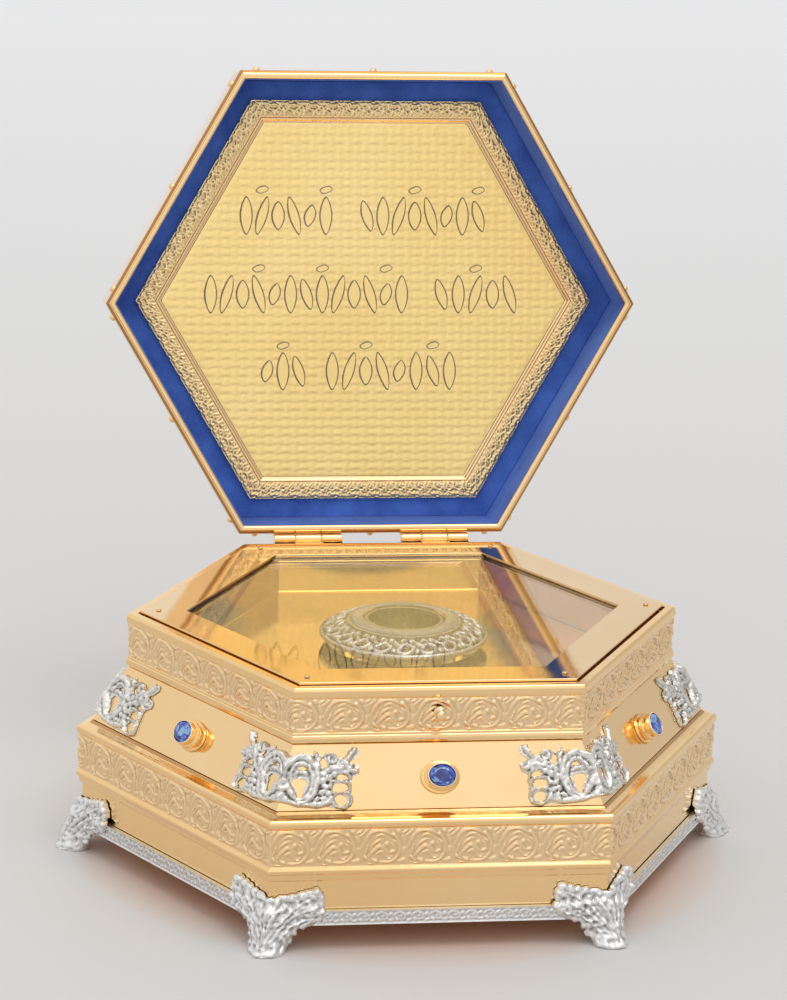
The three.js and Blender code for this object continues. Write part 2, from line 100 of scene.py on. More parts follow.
# ---------------------------------------------------------------- materials
class Nodes:
    """A small wrapper for building the node tree of a material or of the world."""

    def __init__(self, owner, shader="Principled BSDF", place="Object"):
        owner.use_nodes = True
        self.owner, self.tree = owner, owner.node_tree
        self.shader = self.tree.nodes[shader]
        self.place = self.add("ShaderNodeTexCoord").outputs[place]

    def add(self, kind, **settings):
        node = self.tree.nodes.new(kind)
        for key, value in settings.items():
            setattr(node, key, value)
        return node

    def put(self, node, key, value):
        """Sets a socket to a number, a place or a colour, or links it to another socket."""
        socket = node.inputs[key]
        if isinstance(value, bpy.types.NodeSocket):
            self.tree.links.new(value, socket)
        else:
            socket.default_value = (*value, 1) if socket.type == "RGBA" else value

    def noise(self, scale, detail, roughness=0.55, vector=None):
        node = self.add("ShaderNodeTexNoise")
        self.put(node, "Vector", vector or self.place)
        self.put(node, "Scale", scale)
        self.put(node, "Detail", detail)
        self.put(node, "Roughness", roughness)
        return node.outputs["Fac"]

    def ramp(self, value, stops):
        """Colour stops (position, colour) over a value."""
        node = self.add("ShaderNodeValToRGB")
        self.put(node, "Fac", value)
        elements = node.color_ramp.elements
        while len(elements) < len(stops):
            elements.new(0.5)
        for element, (position, colour) in zip(elements, stops):
            element.position = position
            element.color = (*colour, 1)
        return node.outputs["Color"]

    def spread(self, value, low, high, start, end):
        """Turns values from start..end into low..high."""
        node = self.add("ShaderNodeMapRange")
        self.put(node, "Value", value)
        for key, number in (("From Min", start), ("From Max", end), ("To Min", low), ("To Max", high)):
            self.put(node, key, number)
        return node.outputs["Result"]

    def math(self, operation, a, b):
        node = self.add("ShaderNodeMath", operation=operation)
        self.put(node, 0, a)
        self.put(node, 1, b)
        return node.outputs[0]

    def mix(self, factor, a, b):
        """A colour between a and b; in this node's inputs the colours are the seventh and eighth."""
        node = self.add("ShaderNodeMix", data_type="RGBA")
        for index, value in ((0, factor), (6, a), (7, b)):
            self.put(node, index, value)
        return node.outputs[2]

    def blend(self, value, low, high, first, last):
        """From one colour to another as a value goes from `low` to `high`."""
        return self.mix(self.spread(value, 0, 1, low, high), first, last)

    def bump(self, height, strength, distance, before=None):
        node = self.add("ShaderNodeBump")
        self.put(node, "Strength", strength)
        self.put(node, "Distance", distance)
        self.put(node, "Height", height)
        if before is not None:
            self.put(node, "Normal", before)
        return node.outputs["Normal"]

    def finish(self, **sockets):
        """Sets the shader's sockets, written with _ for a space, and gives the tree's owner."""
        for key, value in sockets.items():
            self.put(self.shader, key.replace("_", " "), value)
        return self.owner


def material_nodes(name):
    return Nodes(bpy.data.materials.new(name))


def metal(name, light, dark, roughness, wave=0.25, pits=0.0, hollow=None, metallic=1.0, grain=0.0):
    """Gilt or silvered metal: slow waves from polishing, fine hairlines and a little tarnish.
    `hollow` is a painted shade colour for the crevices of its relief, laid where the surface curves in; `grain` is
    a cast skin."""
    n = material_nodes(name)
    colour = n.blend(n.noise(14, 3), 0.3, 0.7, dark, light)
    # painted shade: where the surface curves in, it takes the darker hollow colour
    if hollow:
        curve_in = n.add("ShaderNodeNewGeometry").outputs["Pointiness"]
        colour = n.blend(curve_in, 0.44, 0.51, hollow, colour)
    rough = n.spread(n.noise(420, 5, 0.6), roughness * 0.7, roughness * 1.5, 0.3, 0.7)
    waves = n.bump(n.noise(45, 2), wave, 0.0004)
    normal = n.bump(n.noise(1500, 3), 0.05 + pits, 0.0001, waves)
    if grain:
        normal = n.bump(n.noise(900, 3), grain, 0.0005, normal)
    return n.finish(Base_Color=colour, Metallic=metallic, Roughness=rough, Normal=normal)


GOLD = metal("polished_gold", (1.0, 0.72, 0.39), (0.97, 0.67, 0.33), 0.09)
DEEP_GOLD = metal("deep_gold", (1.0, 0.70, 0.32), (0.97, 0.62, 0.25), 0.09)
MOULDED_GOLD = metal("moulded_gold", (1.0, 0.71, 0.37), (0.97, 0.65, 0.31), 0.11)
PLATE_GOLD = metal("plate_gold", (0.90, 0.67, 0.39), (0.86, 0.61, 0.33), 0.05, 0.12)
RIM_GOLD = metal("rim_gold", (0.56, 0.27, 0.08), (0.46, 0.21, 0.06), 0.14)
# painted dark reflection: a darker gold for the dark band the ledge reflects in front of the leaning wall's foot
LEDGE_PAINTED_REFLECTION = metal("ledge_painted_dark_reflection", (0.66, 0.40, 0.17), (0.52, 0.28, 0.11), 0.16)
WELL_GOLD = metal("well_gold", (0.94, 0.66, 0.26), (0.90, 0.60, 0.20), 0.10)
PANEL_GOLD = metal("panel_gold", (1.0, 0.76, 0.34), (0.97, 0.70, 0.27), 0.2, pits=0.05)
COLLET_GOLD = metal("collet_gold", (1.0, 0.93, 0.86), (0.95, 0.84, 0.74), 0.12)
OUTLINE_BRONZE = metal("outline_bronze", (0.36, 0.30, 0.22), (0.26, 0.21, 0.16), 0.4)
OLIVE_GOLD = metal("cup_gold", (0.62, 0.60, 0.38), (0.45, 0.43, 0.26), 0.3, pits=0.3)
# The hollow colours of these reliefs are painted shade in their crevices.
GOLD_BAND = metal(
    "stamped_gold", (1.0, 0.75, 0.45), (0.97, 0.68, 0.37), 0.15, pits=0.06, hollow=(0.76, 0.50, 0.27)
)
STRIP_GOLD = metal(
    "strip_gold", (1.0, 0.80, 0.43), (0.99, 0.71, 0.34), 0.26, 0.25, 0.2, (0.48, 0.27, 0.11), 0.92, 0.35
)
SILVER = metal(
    "cast_silver", (0.95, 0.95, 0.93), (0.82, 0.82, 0.81), 0.32, 0.5, 0.25, (0.38, 0.37, 0.36), grain=0.6
)
MOUNT_SILVER = metal(
    "mount_silver", (0.89, 0.87, 0.83), (0.73, 0.71, 0.67), 0.30, 0.6, 0.6, (0.30, 0.28, 0.26), grain=0.7
)
COLLAR_SILVER = metal(
    "collar_silver", (0.84, 0.83, 0.80), (0.66, 0.65, 0.62), 0.28, 0.6, 0.5, (0.26, 0.24, 0.19), grain=0.5
)


def glass_material():
    n = material_nodes("clear_glass")
    return n.finish(Base_Color=(1.0, 1.0, 1.0), Roughness=0.0, Transmission_Weight=1.0, IOR=1.45, Alpha=1.0)


def milky_glass_material():
    n = material_nodes("milky_glass")
    colour = n.blend(n.noise(120, 3), 0.3, 0.7, (0.92, 0.90, 0.84), (1.0, 0.99, 0.95))
    return n.finish(Base_Color=colour, Roughness=0.06, Transmission_Weight=0.68, IOR=1.45)


def stone_material():
    """Blue glass-like stone with painted sparkle: each facet's blue, up to a bright painted glint, follows the way
    it faces, broken up by painted small shapes for what is seen through it.
    """
    n = material_nodes("blue_stone")
    facet = n.add("ShaderNodeNewGeometry").outputs["True Normal"]
    # painted reflection: small cells stand for the facets seen through the table
    cells = n.add("ShaderNodeTexVoronoi")
    n.put(cells, "Scale", 420)
    n.put(cells, "Vector", n.place)
    seen = n.math("MULTIPLY", cells.outputs["Color"], 0.42)
    shade = n.math("ADD", n.math("MULTIPLY", n.noise(9, 0, vector=facet), 0.58), seen)
    # the last, light cyan stop is a painted glint
    blues_and_painted_glints = [
        (0.34, (0.008, 0.02, 0.22)),
        (0.46, (0.025, 0.07, 0.50)),
        (0.55, (0.06, 0.17, 0.88)),
        (0.66, (0.36, 0.68, 1.0)),
    ]
    return n.finish(Base_Color=n.ramp(shade, blues_and_painted_glints), Roughness=0.02, Transmission_Weight=0.35, IOR=1.76)


def velvet_material(name, dark, light):
    n = material_nodes(name)
    return n.finish(
        Base_Color=n.blend(n.noise(60, 5, 0.6), 0.35, 0.65, dark, light),
        Roughness=0.9,
        Sheen_Weight=0.8,
        Sheen_Roughness=0.35,
        Sheen_Tint=(0.25, 0.4, 1.0),
        Normal=n.bump(n.noise(2600, 3), 0.6, 0.0006),
    )


GLASS = glass_material()
MILKY_GLASS = milky_glass_material()
STONE = stone_material()
VELVET = velvet_material("blue_velvet", (0.046, 0.122, 0.47), (0.088, 0.205, 0.66))
# painted light: a slightly lighter copy of the velvet for the lining's wall, as if more light fell on it
VELVET_PAINTED_LIGHT = velvet_material("velvet_painted_light", (0.048, 0.125, 0.48), (0.092, 0.212, 0.67))
FINISHES = {
    "gold": GOLD,
    "gold_band": GOLD_BAND,
    "deep_gold": DEEP_GOLD,
    "silver": SILVER,
    "blue_stone": STONE,
    "clear_glass": GLASS,
    "velvet": VELVET,
}


def dress_nodes():
    """Every CAD node gets its slot's material."""
    for part in frame["record"]["subparts"]:
        materials = frame["nodes"][part["node"]].data.materials
        materials.clear()
        materials.append(FINISHES[part["material_slot"]])


# ---------------------------------------------------------------- mesh tools
# Pieces are made in millimetres from the hexagon's axis, the lid's as if it were closed.
HINGE = frame["joints"][0]
HINGE_Y = HINGE["pos_m"][1] / MM - HEX_Y
HINGE_Z = HINGE["pos_m"][2] / MM
LID_OPEN = math.radians(HINGE["range_deg"][1])


def lid_opened(points):
    """Turns points of the closed lid back about the hinge, to where it stands at rest."""
    y, z = points[:, 1] - HINGE_Y, points[:, 2] - HINGE_Z
    c, s = math.cos(-LID_OPEN), math.sin(-LID_OPEN)
    return np.stack([points[:, 0], HINGE_Y + c * y - s * z, HINGE_Z + s * y + c * z], 1)


def corners(grid):
    """The values of a grid at the four corners of every cell, in order round the cell."""
    return grid[:-1, :-1], grid[:-1, 1:], grid[1:, 1:], grid[1:, :-1]


def numbered(points):
    """The number of each point of a grid[row, column]."""
    rows, columns = points.shape[:2]
    return np.arange(rows * columns).reshape(rows, columns)


class Build:
    """The points and faces of one piece, gathered from solid parts.
    Every face has four corners; a triangle's last two are the same."""

    def __init__(self):
        self.points, self.faces, self.count = [], [], 0

    def add(self, points, faces):
        points, faces = np.asarray(points, float).reshape(-1, 3), np.asarray(faces)
        if volume_of(points, faces) < 0:
            faces = faces[:, ::-1]
        self.points.append(points)
        self.faces.append(faces + self.count)
        self.count += len(points)
        return self

    def grid(self, points):
        """Quads over points[row, column], closed both ways: a ring-shaped solid."""
        index = np.pad(numbered(points), (0, 1), mode="wrap")
        return self.add(points, np.stack(corners(index), -1).reshape(-1, 4))

    def capped(self, rings):
        """A solid skin over rings[row, column], its first and last ring closed by fans."""
        points = np.vstack([rings.reshape(-1, 3), rings[0].mean(0), rings[-1].mean(0)])
        index = numbered(rings)
        first, last = np.full(index.shape[1], index.size), np.full(index.shape[1], index.size + 1)
        index = np.hstack([index, index[:, :1]])
        sides = np.stack(corners(index), -1).reshape(-1, 4)
        low = np.stack([first, index[0, 1:], index[0, :-1], index[0, :-1]], 1)
        high = np.stack([last, index[-1, :-1], index[-1, 1:], index[-1, 1:]], 1)
        return self.add(points, np.vstack([sides, low, high]))

    def sheet(self, top, under, keep, plain_back=False):
        """A solid between two point grids, only in the cells that `keep` marks.
        A convex one can have a plain back: a fan from the middle of `under` to its edge."""
        index = numbered(top)
        rows, columns = keep.shape
        half = index.size
        a, b, c, d = corners(index)
        upper = np.stack([side[keep] for side in (a, b, c, d)], 1)
        parts = [upper] if plain_back else [upper, upper[:, ::-1] + half]
        around = np.pad(keep, 1)
        for (p, q), (row, column) in (((a, b), (0, 1)), ((b, c), (1, 2)), ((c, d), (2, 1)), ((d, a), (1, 0))):
            open_side = keep & ~around[row : row + rows, column : column + columns]
            p, q = p[open_side], q[open_side]
            parts.append(np.stack([q, p, p + half, q + half], 1))
            if plain_back:
                centre = np.full(len(p), 2 * half)
                parts.append(np.stack([q + half, p + half, centre, centre], 1))
        used, faces = np.unique(np.vstack(parts), return_inverse=True)
        centre = under.reshape(-1, 3).mean(0)[None]
        points = np.concatenate([top.reshape(-1, 3), under.reshape(-1, 3), centre])[used]
        return self.add(points, faces.reshape(-1, 4))


def volume_of(points, faces):
    """Six times the volume inside four-cornered faces; less than nothing when they face inwards."""
    a, b, c, d = (points[faces[:, k]] for k in range(4))
    return np.einsum("ij,ij->", a, np.cross(b, c) + np.cross(c, d))


def piece(name, build, body, finish, replaces=(), sharp=38.0):
    """Makes one Blender object of a build, on its body, with its finish."""
    points = np.concatenate(build.points)
    if body == "lid":
        points = lid_opened(points)
    points = (points + [0, HEX_Y, 0]) * MM
    loops, sizes = [], []
    for faces in build.faces:
        triangle = (faces[:, 2] == faces[:, 3]) | (faces[:, 0] == faces[:, 3])
        for chosen in (faces[~triangle], faces[triangle][:, :3]):
            loops.append(chosen.reshape(-1))
            sizes.append(np.full(len(chosen), chosen.shape[1]))
    loops, sizes = np.concatenate(loops).astype(np.int32), np.concatenate(sizes).astype(np.int32)
    mesh = bpy.data.meshes.new(name)
    mesh.vertices.add(len(points))
    mesh.vertices.foreach_set("co", points.astype(np.float32).ravel())
    mesh.loops.add(len(loops))
    mesh.loops.foreach_set("vertex_index", loops)
    mesh.polygons.add(len(sizes))
    mesh.polygons.foreach_set("loop_start", np.cumsum(sizes).astype(np.int32) - sizes)
    mesh.polygons.foreach_set("loop_total", sizes)
    mesh.update(calc_edges=True)
    mesh.validate()
    mesh.shade_smooth()
    mesh.set_sharp_from_angle(angle=math.radians(sharp))
    mesh.materials.append(finish)
    made = bpy.data.objects.new(name, mesh)
    bpy.context.scene.collection.objects.link(made)
    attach(made, body)
    if replaces:
        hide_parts(*replaces)


def soften(profile, radius=0.3, steps=3):
    """A closed profile with its corners rounded, and a point on each flat beside every corner."""
    made = []
    points = [np.array(p, float) for p in profile]
    for i, here in enumerate(points):
        before, after = points[i - 1] - here, points[(i + 1) % len(points)] - here
        a, b = np.linalg.norm(before), np.linalg.norm(after)
        before, after = before / a, after / b
        if before @ after < -0.995:
            made.append(here)
            continue
        reach = min(radius, 0.36 * a, 0.36 * b)
        made.append(here + before * reach * 1.3)
        for t in np.linspace(0, 1, steps + 1):
            made.append(here + before * reach * (1 - t) ** 2 + after * reach * t**2)
        made.append(here + after * reach * 1.3)
    return np.array(made)


CORNER_ROUND, CORNER_STEPS = 0.8, 4  # how the hexagon's corners are rounded


def level(places, z):
    """Flat places, all at height z."""
    return np.column_stack([places, np.full(len(places), z)])


def hex_path(r, radius=CORNER_ROUND, along=(0.004, 0.996)):
    """Points round a hexagon of corner radius r with rounded corners, and the way out at each.
    `along` says where its points stand on each flat side, from 0 to 1."""
    places, ways = [], []
    reach = (r * COS30 - radius) / COS30
    for k in range(6):
        corner, beyond = math.radians(60 * k), math.radians(60 * k + 60)
        centre = reach * np.array([math.cos(corner), math.sin(corner)])
        further = reach * np.array([math.cos(beyond), math.sin(beyond)])
        for turn in np.linspace(-math.pi / 6, math.pi / 6, CORNER_STEPS + 1):
            way = np.array([math.cos(corner + turn), math.sin(corner + turn)])
            places.append(centre + radius * way)
            ways.append(way)
        for t in along:
            places.append(centre + (further - centre) * t + radius * way)
            ways.append(way)
    return np.array(places), np.array(ways)


def hex_sweep(profile, radius=CORNER_ROUND, along=(0.004, 0.996)):
    """Carries an (r, z) profile round the hexagon, as rings for Build.grid or Build.capped."""
    return np.array([level(hex_path(r, min(radius, 0.4 * r), along)[0], z) for r, z in profile])


def curve(points, steps=6):
    """A smooth line through points (Catmull-Rom)."""
    p = np.array(points, float)
    if len(p) < 3:
        return p
    p = np.vstack([2 * p[0] - p[1], p, 2 * p[-1] - p[-2]])
    t = np.linspace(0, 1, steps, endpoint=False)[:, None]
    made = []
    for a, b, c, d in zip(p, p[1:], p[2:], p[3:]):
        bend = (2 * a - 5 * b + 4 * c - d) * t**2 + (3 * b - a - 3 * c + d) * t**3
        made.append(0.5 * (2 * b + (c - a) * t + bend))
    return np.vstack([*made, p[-2:-1]])


def to_segment(x, y, a, b):
    """Where on the line from a to b each point is nearest, from 0 to 1, and how far off it is."""
    ab = b - a
    t = np.clip(((x - a[0]) * ab[0] + (y - a[1]) * ab[1]) / max(ab @ ab, 1e-9), 0, 1)
    return t, np.hypot(x - a[0] - t * ab[0], y - a[1] - t * ab[1])


def oval(x, y, centre, radii, turn):
    """How far out each point is in an oval turned by degrees: 0 in its middle, 1 on its edge."""
    c, s = math.cos(math.radians(turn)), math.sin(math.radians(turn))
    dx, dy = x - centre[0], y - centre[1]
    return np.hypot((dx * c + dy * s) / radii[0], (dy * c - dx * s) / radii[1])


def reached(steps, a, b, reach):
    """The slice of rising steps within `reach` of the stretch from a to b."""
    return slice(*np.searchsorted(steps, (min(a, b) - reach, max(a, b) + reach)))


def bilinear(grid, row, column):
    """Reads a grid between its points."""
    i = np.minimum(np.floor(row).astype(int), grid.shape[0] - 2)
    j = np.minimum(np.floor(column).astype(int), grid.shape[1] - 2)
    fy, fx = row - i, column - j
    low = grid[i, j] * (1 - fx) + grid[i, j + 1] * fx
    high = grid[i + 1, j] * (1 - fx) + grid[i + 1, j + 1] * fx
    return low * (1 - fy) + high * fy


TAPER = 0.4  # the share of a stroke's length over which each end grows slimmer


class Relief:
    """Raised work over a flat grid: how far each point is inside its edge, and how high it stands.
    With a pitch it repeats along x."""

    def __init__(self, x, y, pitch=0.0):
        self.x, self.y = np.meshgrid(x, y)
        self.shifts = (-pitch, 0, pitch) if pitch else (0,)
        self.inside = np.full(self.x.shape, -9.0)
        self.height = np.zeros(self.x.shape)

    def stroke(self, points, wide, high, ends, base=0.0, power=0.5):
        """A rounded ridge along a smooth line, only a share `ends` as wide at its two ends."""
        line = curve(points)
        runs = np.concatenate([[0], np.cumsum(np.hypot(*np.diff(line, axis=0).T))])
        runs /= max(runs[-1], 1e-6)
        reach = wide / 2 + 0.6
        for shift in self.shifts:
            moved = line + [shift, 0]
            for a, b, start, end in zip(moved, moved[1:], runs, runs[1:]):
                part = reached(self.y[:, 0], a[1], b[1], reach), reached(self.x[0], a[0], b[0], reach)
                t, away = to_segment(self.x[part], self.y[part], a, b)
                along = start + t * (end - start)
                growing = ends[0] + (1 - ends[0]) * along / TAPER
                shrinking = ends[1] + (1 - ends[1]) * (1 - along) / TAPER
                slim = np.minimum(np.minimum(growing, shrinking), 1)
                half = wide / 2 * slim
                arch = np.clip(1 - (away / half) ** 2, 0, 1) ** power
                self._raise(part, half - away, base + high * slim**0.5 * arch)

    def _raise(self, part, inside, height):
        self.inside[part] = np.maximum(self.inside[part], inside)
        self.height[part] = np.maximum(self.height[part], np.where(inside > 0, height, 0))

    def blob(self, centre, radii, high, turn=0.0, base=0.0):
        """A rounded boss: an oval of half-sizes `radii`, turned by degrees."""
        for shift in self.shifts:
            out = oval(self.x - shift, self.y, centre, radii, turn)
            self._raise(slice(None), (1 - out) * min(radii), base + high * np.clip(1 - out**2, 0, 1) ** 0.5)

    def dent(self, centre, radii, deep):
        """Presses an oval hollow into what stands there."""
        self.height -= deep * np.exp(-(oval(self.x, self.y, centre, radii, 0) ** 2) * 1.5)

    def at(self, x, y):
        """How far inside and how high it is at points between those of its FINE grid."""
        row = np.clip((y - self.y[0, 0]) / FINE, 0, self.y.shape[0] - 1.001)
        column = np.clip((x - self.x[0, 0]) / FINE, 0, self.x.shape[1] - 1.001)
        return bilinear(self.inside, row, column), bilinear(self.height, row, column)


def blurred(grid, wrap=True):
    """A small blur, round the tile's ends where it repeats."""
    side = np.pad(grid, ((0, 0), (1, 1)), mode="wrap" if wrap else "edge")
    grid = (side[:, :-2] + 2 * grid + side[:, 2:]) / 4
    side = np.pad(grid, ((1, 1), (0, 0)), mode="edge")
    return (side[:-2] + 2 * grid + side[2:]) / 4


def sampled(tile, u, v):
    """Reads a repeating tile: u counts tiles along, v runs 0 to 1 across."""
    rows, columns = tile.shape
    return bilinear(np.hstack([tile, tile[:, :1]]), v * (rows - 1), (u % 1.0) * columns)


def relief_band(start, end, way, tile, units, step, depth=0.5):
    """A strip of running ornament round the hexagon, from (r, z) start to end.
    `way` is the (r, z) direction in which it is raised. Its back is `depth` behind its face."""
    start, end, way = (np.array(p, float) for p in (start, end, way))
    rows = int(round(np.linalg.norm(end - start) / step)) + 1
    flat = int(round((start[0] - 2 * CORNER_ROUND) / step))
    along = np.linspace(0, 1, flat + 1)[1:-1]
    places, _ = hex_path(start[0], along=along)
    around = np.hypot(*np.diff(np.vstack([places, places[:1]]), axis=0).T)
    u = np.concatenate([[0], np.cumsum(around)[:-1]]) / around.sum() * units
    rings = []
    for t in np.linspace(0, 1, rows):
        r, z = start + (end - start) * t
        places, ways = hex_path(r, along=along)
        high = sampled(tile, u, t)
        rings.append(np.column_stack([places + ways * (way[0] * high)[:, None], z + way[1] * high]))
    back = hex_sweep([end - way * depth, start - way * depth], along=along)
    return Build().grid(np.vstack([rings, back]))


def on_face(points, azimuth, apothem, z, lean=0.0):
    """Stands flat work (x along, y up, z out) on the wall whose normal is at `azimuth` degrees."""
    points = np.asarray(points, float)
    a, tilt = math.radians(azimuth), math.radians(lean)
    out = np.array([math.cos(a), math.sin(a), 0])
    along = np.array([-math.sin(a), math.cos(a), 0])
    up = np.array([0, 0, math.cos(tilt)]) - out * math.sin(tilt)
    face = out * math.cos(tilt) + np.array([0, 0, math.sin(tilt)])
    foot = out * apothem + np.array([0, 0, z])
    x, y, h = points[..., 0:1], points[..., 1:2], points[..., 2:3]
    return foot + along * x + up * y + face * h


def lathe(profile, sides, stretch=1.0):
    """Rings of a (r, z) profile turned about the z axis, `stretch` times as deep as wide."""
    turn = np.linspace(0, 2 * math.pi, sides, endpoint=False)
    circle = np.column_stack([np.cos(turn), stretch * np.sin(turn)])
    return np.array([level(r * circle, z) for r, z in profile])


# ---------------------------------------------------------------- ornament tiles
SCROLL_PITCH, SCROLL_HIGH = 16.0, 12.6


def scroll_tile():
    """One unit of the running scroll: a round C-scroll with a curled leaf in it and a knob above."""
    x = np.arange(0, SCROLL_PITCH, 0.1)
    y = np.arange(-SCROLL_HIGH / 2, SCROLL_HIGH / 2 + 0.05, 0.1)
    r = Relief(x - SCROLL_PITCH / 2, y, SCROLL_PITCH)
    ring = [(-8.2, -0.8), (-6.2, 2.2), (-4.4, 4.6), (-1.8, 5.5), (1.4, 4.9), (4.4, 3.0), (5.6, 0.2)]
    ring += [(5.2, -2.8), (3.0, -4.9), (-0.6, -5.3), (-3.8, -4.4)]
    r.stroke(ring, 1.3, 0.62, (0.35, 0.5), power=0.6)
    r.stroke([(-7.6, 0.8), (-5.8, 3.6), (-4.6, 5.3), (-2.8, 6.0)], 0.8, 0.42, (0.3, 0.4), power=0.6)
    stem = [(-5.0, -3.2), (-3.4, -1.2), (-1.6, 0.1), (0.2, -0.6), (2.0, -1.9), (3.8, -1.6)]
    r.stroke(stem, 1.5, 0.6, (0.3, 0.7))
    r.stroke([(-4.6, -0.4), (-3.2, 1.2), (-1.6, 2.2), (0.2, 2.4)], 1.1, 0.42, (0.3, 0.3))
    r.stroke([(-3.2, 2.6), (-1.4, 3.8), (0.8, 3.6), (2.4, 2.2)], 0.9, 0.34, (0.3, 0.3))
    r.stroke([(-3.0, -2.8), (-0.6, -2.0), (1.6, -3.2), (3.4, -3.2)], 1.2, 0.4, (0.3, 0.4))
    r.stroke([(2.4, 1.4), (3.6, 0.4), (3.8, -0.8)], 0.9, 0.4, (0.4, 0.3))
    r.blob((1.1, 0.9), (1.1, 0.8), 0.5, 20)
    r.blob((3.7, 4.0), (1.35, 0.75), 0.85, -28)
    r.blob((-5.7, -4.0), (1.7, 0.75), 0.8, -42)
    r.blob((-2.6, -4.9), (0.95, 0.7), 0.6)
    r.blob((6.9, 2.7), (0.9, 1.7), 0.42, 14)
    r.blob((6.9, -1.4), (0.7, 1.5), 0.36, -8)
    r.blob((7.1, -4.7), (1.2, 0.8), 0.42, 10)
    r.blob((5.4, 5.2), (1.3, 0.6), 0.4, -14)
    for k in range(3):
        r.blob((-7.9 + 0.9 * k, 4.0 + 0.75 * k), (0.75, 0.45), 0.46, 40)
    r.blob((5.6, -5.0), (1.1, 0.6), 0.36, -20)
    for points in (
        [(-4.4, -2.6), (-3.0, -1.3), (-1.4, -0.4)],
        [(-4.2, 0.2), (-3.0, 1.5), (-1.4, 2.6)],
        [(-2.8, 3.2), (-1.2, 4.2), (0.6, 4.2)],
        [(-2.6, -2.4), (-0.6, -1.4), (1.0, -2.2)],
        [(3.0, 2.2), (4.2, 1.4), (4.6, 0.4)],
        [(0.6, -3.6), (2.0, -4.0), (3.2, -3.6)],
        [(-6.8, -2.6), (-5.8, -1.0), (-5.4, 0.8)],
        [(6.2, 4.4), (7.4, 5.2), (8.4, 5.6)],
        [(-6.4, -5.4), (-4.6, -5.6), (-3.4, -5.9)],
    ):
        r.stroke(points, 0.62, 0.72, (0.5, 0.4), power=0.6)
    return blurred(r.height)


def strip_tile():
    """The narrow running leaf of the base strip: a lobed leaf and a bead, over and over."""
    x, y = np.arange(0, 6.4, 0.1), np.arange(-2.65, 2.7, 0.1)
    r = Relief(x - 3.2, y, 6.4)
    leaf = [(-3.2, 0.2), (-2.0, 1.3), (-0.5, 1.5), (0.8, 0.7), (0.9, -0.5), (0.0, -1.2), (-0.9, -0.8)]
    r.stroke(leaf, 0.75, 0.5, (0.6, 0.5))
    r.stroke([(0.9, -0.6), (2.0, -1.5), (3.2, -0.9)], 0.7, 0.45, (0.4, 0.6))
    r.blob((-0.3, 0.2), (0.6, 0.5), 0.5)
    r.blob((2.2, 0.9), (0.9, 0.55), 0.5, 35)
    r.blob((-1.9, -1.1), (0.8, 0.5), 0.45, -30)
    tile = blurred(r.height)
    rims = np.abs(y) > 2.2
    tile[rims] = np.maximum(tile[rims], 0.32)
    return blurred(tile)


def lid_strip_tile():
    """The stamped leaves round the lid's panel, over a ground of scattered granules."""
    x, y = np.arange(0, 8.0, 0.1), np.arange(-2.8, 2.85, 0.1)
    r = Relief(x - 4, y, 8.0)
    for k in (-2, 2):
        r.stroke([(k - 2.0, -2.3), (k - 0.9, -1.5), (k - 0.1, -0.3)], 1.1, 0.55, (0.3, 0.6))
        r.stroke([(k - 0.1, 2.3), (k + 0.9, 1.5), (k + 1.9, 0.3)], 1.1, 0.55, (0.3, 0.6))
        r.stroke([(k - 0.6, -2.4), (k + 0.5, -1.7), (k + 1.2, -0.7)], 0.8, 0.45, (0.3, 0.6))
        r.stroke([(k - 1.6, 2.4), (k - 0.6, 1.6), (k + 0.4, 0.8)], 0.8, 0.45, (0.3, 0.6))
        r.stroke([(k - 2, 0.5), (k - 1, -0.1), (k, 0.1), (k + 1, 0.5), (k + 2, 0.5)], 0.6, 0.6, (0.8, 0.8))
        r.blob((k - 1.2, 0.9), (0.5, 0.4), 0.5, 30)
        r.blob((k + 1.7, -1.6), (0.5, 0.4), 0.5, -30)
    rng = np.random.default_rng(5)
    along, across, tall = (rng.uniform(*reach, 34) for reach in ((-4, 4), (-2.5, 2.5), (0.45, 0.85)))
    for place in zip(along, across, tall):
        r.blob(place[:2], (0.42, 0.34), place[2], 60 * place[0])
    return blurred(r.height)


# ---------------------------------------------------------------- the tiers
def node_top_radius(name):
    """The corner radius of a node's highest edge."""
    points = np.array([v.co for v in frame["nodes"][name].data.vertices]) / MM
    return points[points[:, 2] > points[:, 2].max() - 0.1][:, 0].max()


# The middle tier's leaning wall, from its foot at corner radius WALL_R and height WALL_FOOT.
WALL_R, WALL_FOOT = node_box("middle_tier")[1][0], node_box("middle_tier")[0][2]
WALL_RUN, WALL_RISE = WALL_R - node_top_radius("middle_tier"), node_box("middle_tier")[1][2] - WALL_FOOT
WALL_LEAN = math.degrees(math.atan2(WALL_RUN * COS30, WALL_RISE))
UPPER_WALL = node_box("upper_tier")[1][0] * COS30  # the upper tier's flats stand this far out


def on_leaning_wall(points, azimuth):
    """Stands flat work on the leaning wall, y up its slope from its foot."""
    return on_face(points, azimuth, WALL_R * COS30, WALL_FOOT, WALL_LEAN)


def from_box(node, steps):
    """A profile given as (in from the node's corner radius, up from its foot)."""
    low, high = node_box(node)
    return [(high[0] - inset, low[2] + rise) for inset, rise in steps]


LOWER_STEPS = [
    (2.4, 0), (2.4, 15.9), (1.4, 16.2), (0.9, 18.6), (0.2, 18.9), (0, 20.2), (1.3, 21.6), (1.3, 34.9),
    (0.3, 35.6), (0, 36.7), (0.3, 37.9), (1.2, 38.4), (3.0, 38.6), (4.9, 39.1), (5.9, 40), (9.4, 40),
    (9.4, 37.2), (5.8, 34), (5.8, 0),
]
UPPER_STEPS = [
    (1.2, 0), (0.3, 0.2), (0, 1.45), (0.3, 2.65), (0.6, 2.85), (0.6, 3.65), (1.3, 4.1), (1.3, 15.9),
    (0.5, 16.25), (0.1, 17.45), (0.3, 19.05), (1.1, 20), (4.4, 20), (4.4, 18.15), (8.4, 18.15),
    (8.4, 16.25), (4.3, 12.25), (4.3, 0),
]
BAND_STEP = 0.365  # between the points of a scroll band
BAND_IN = 1.0  # from a tier's outermost moulding in to its scroll band


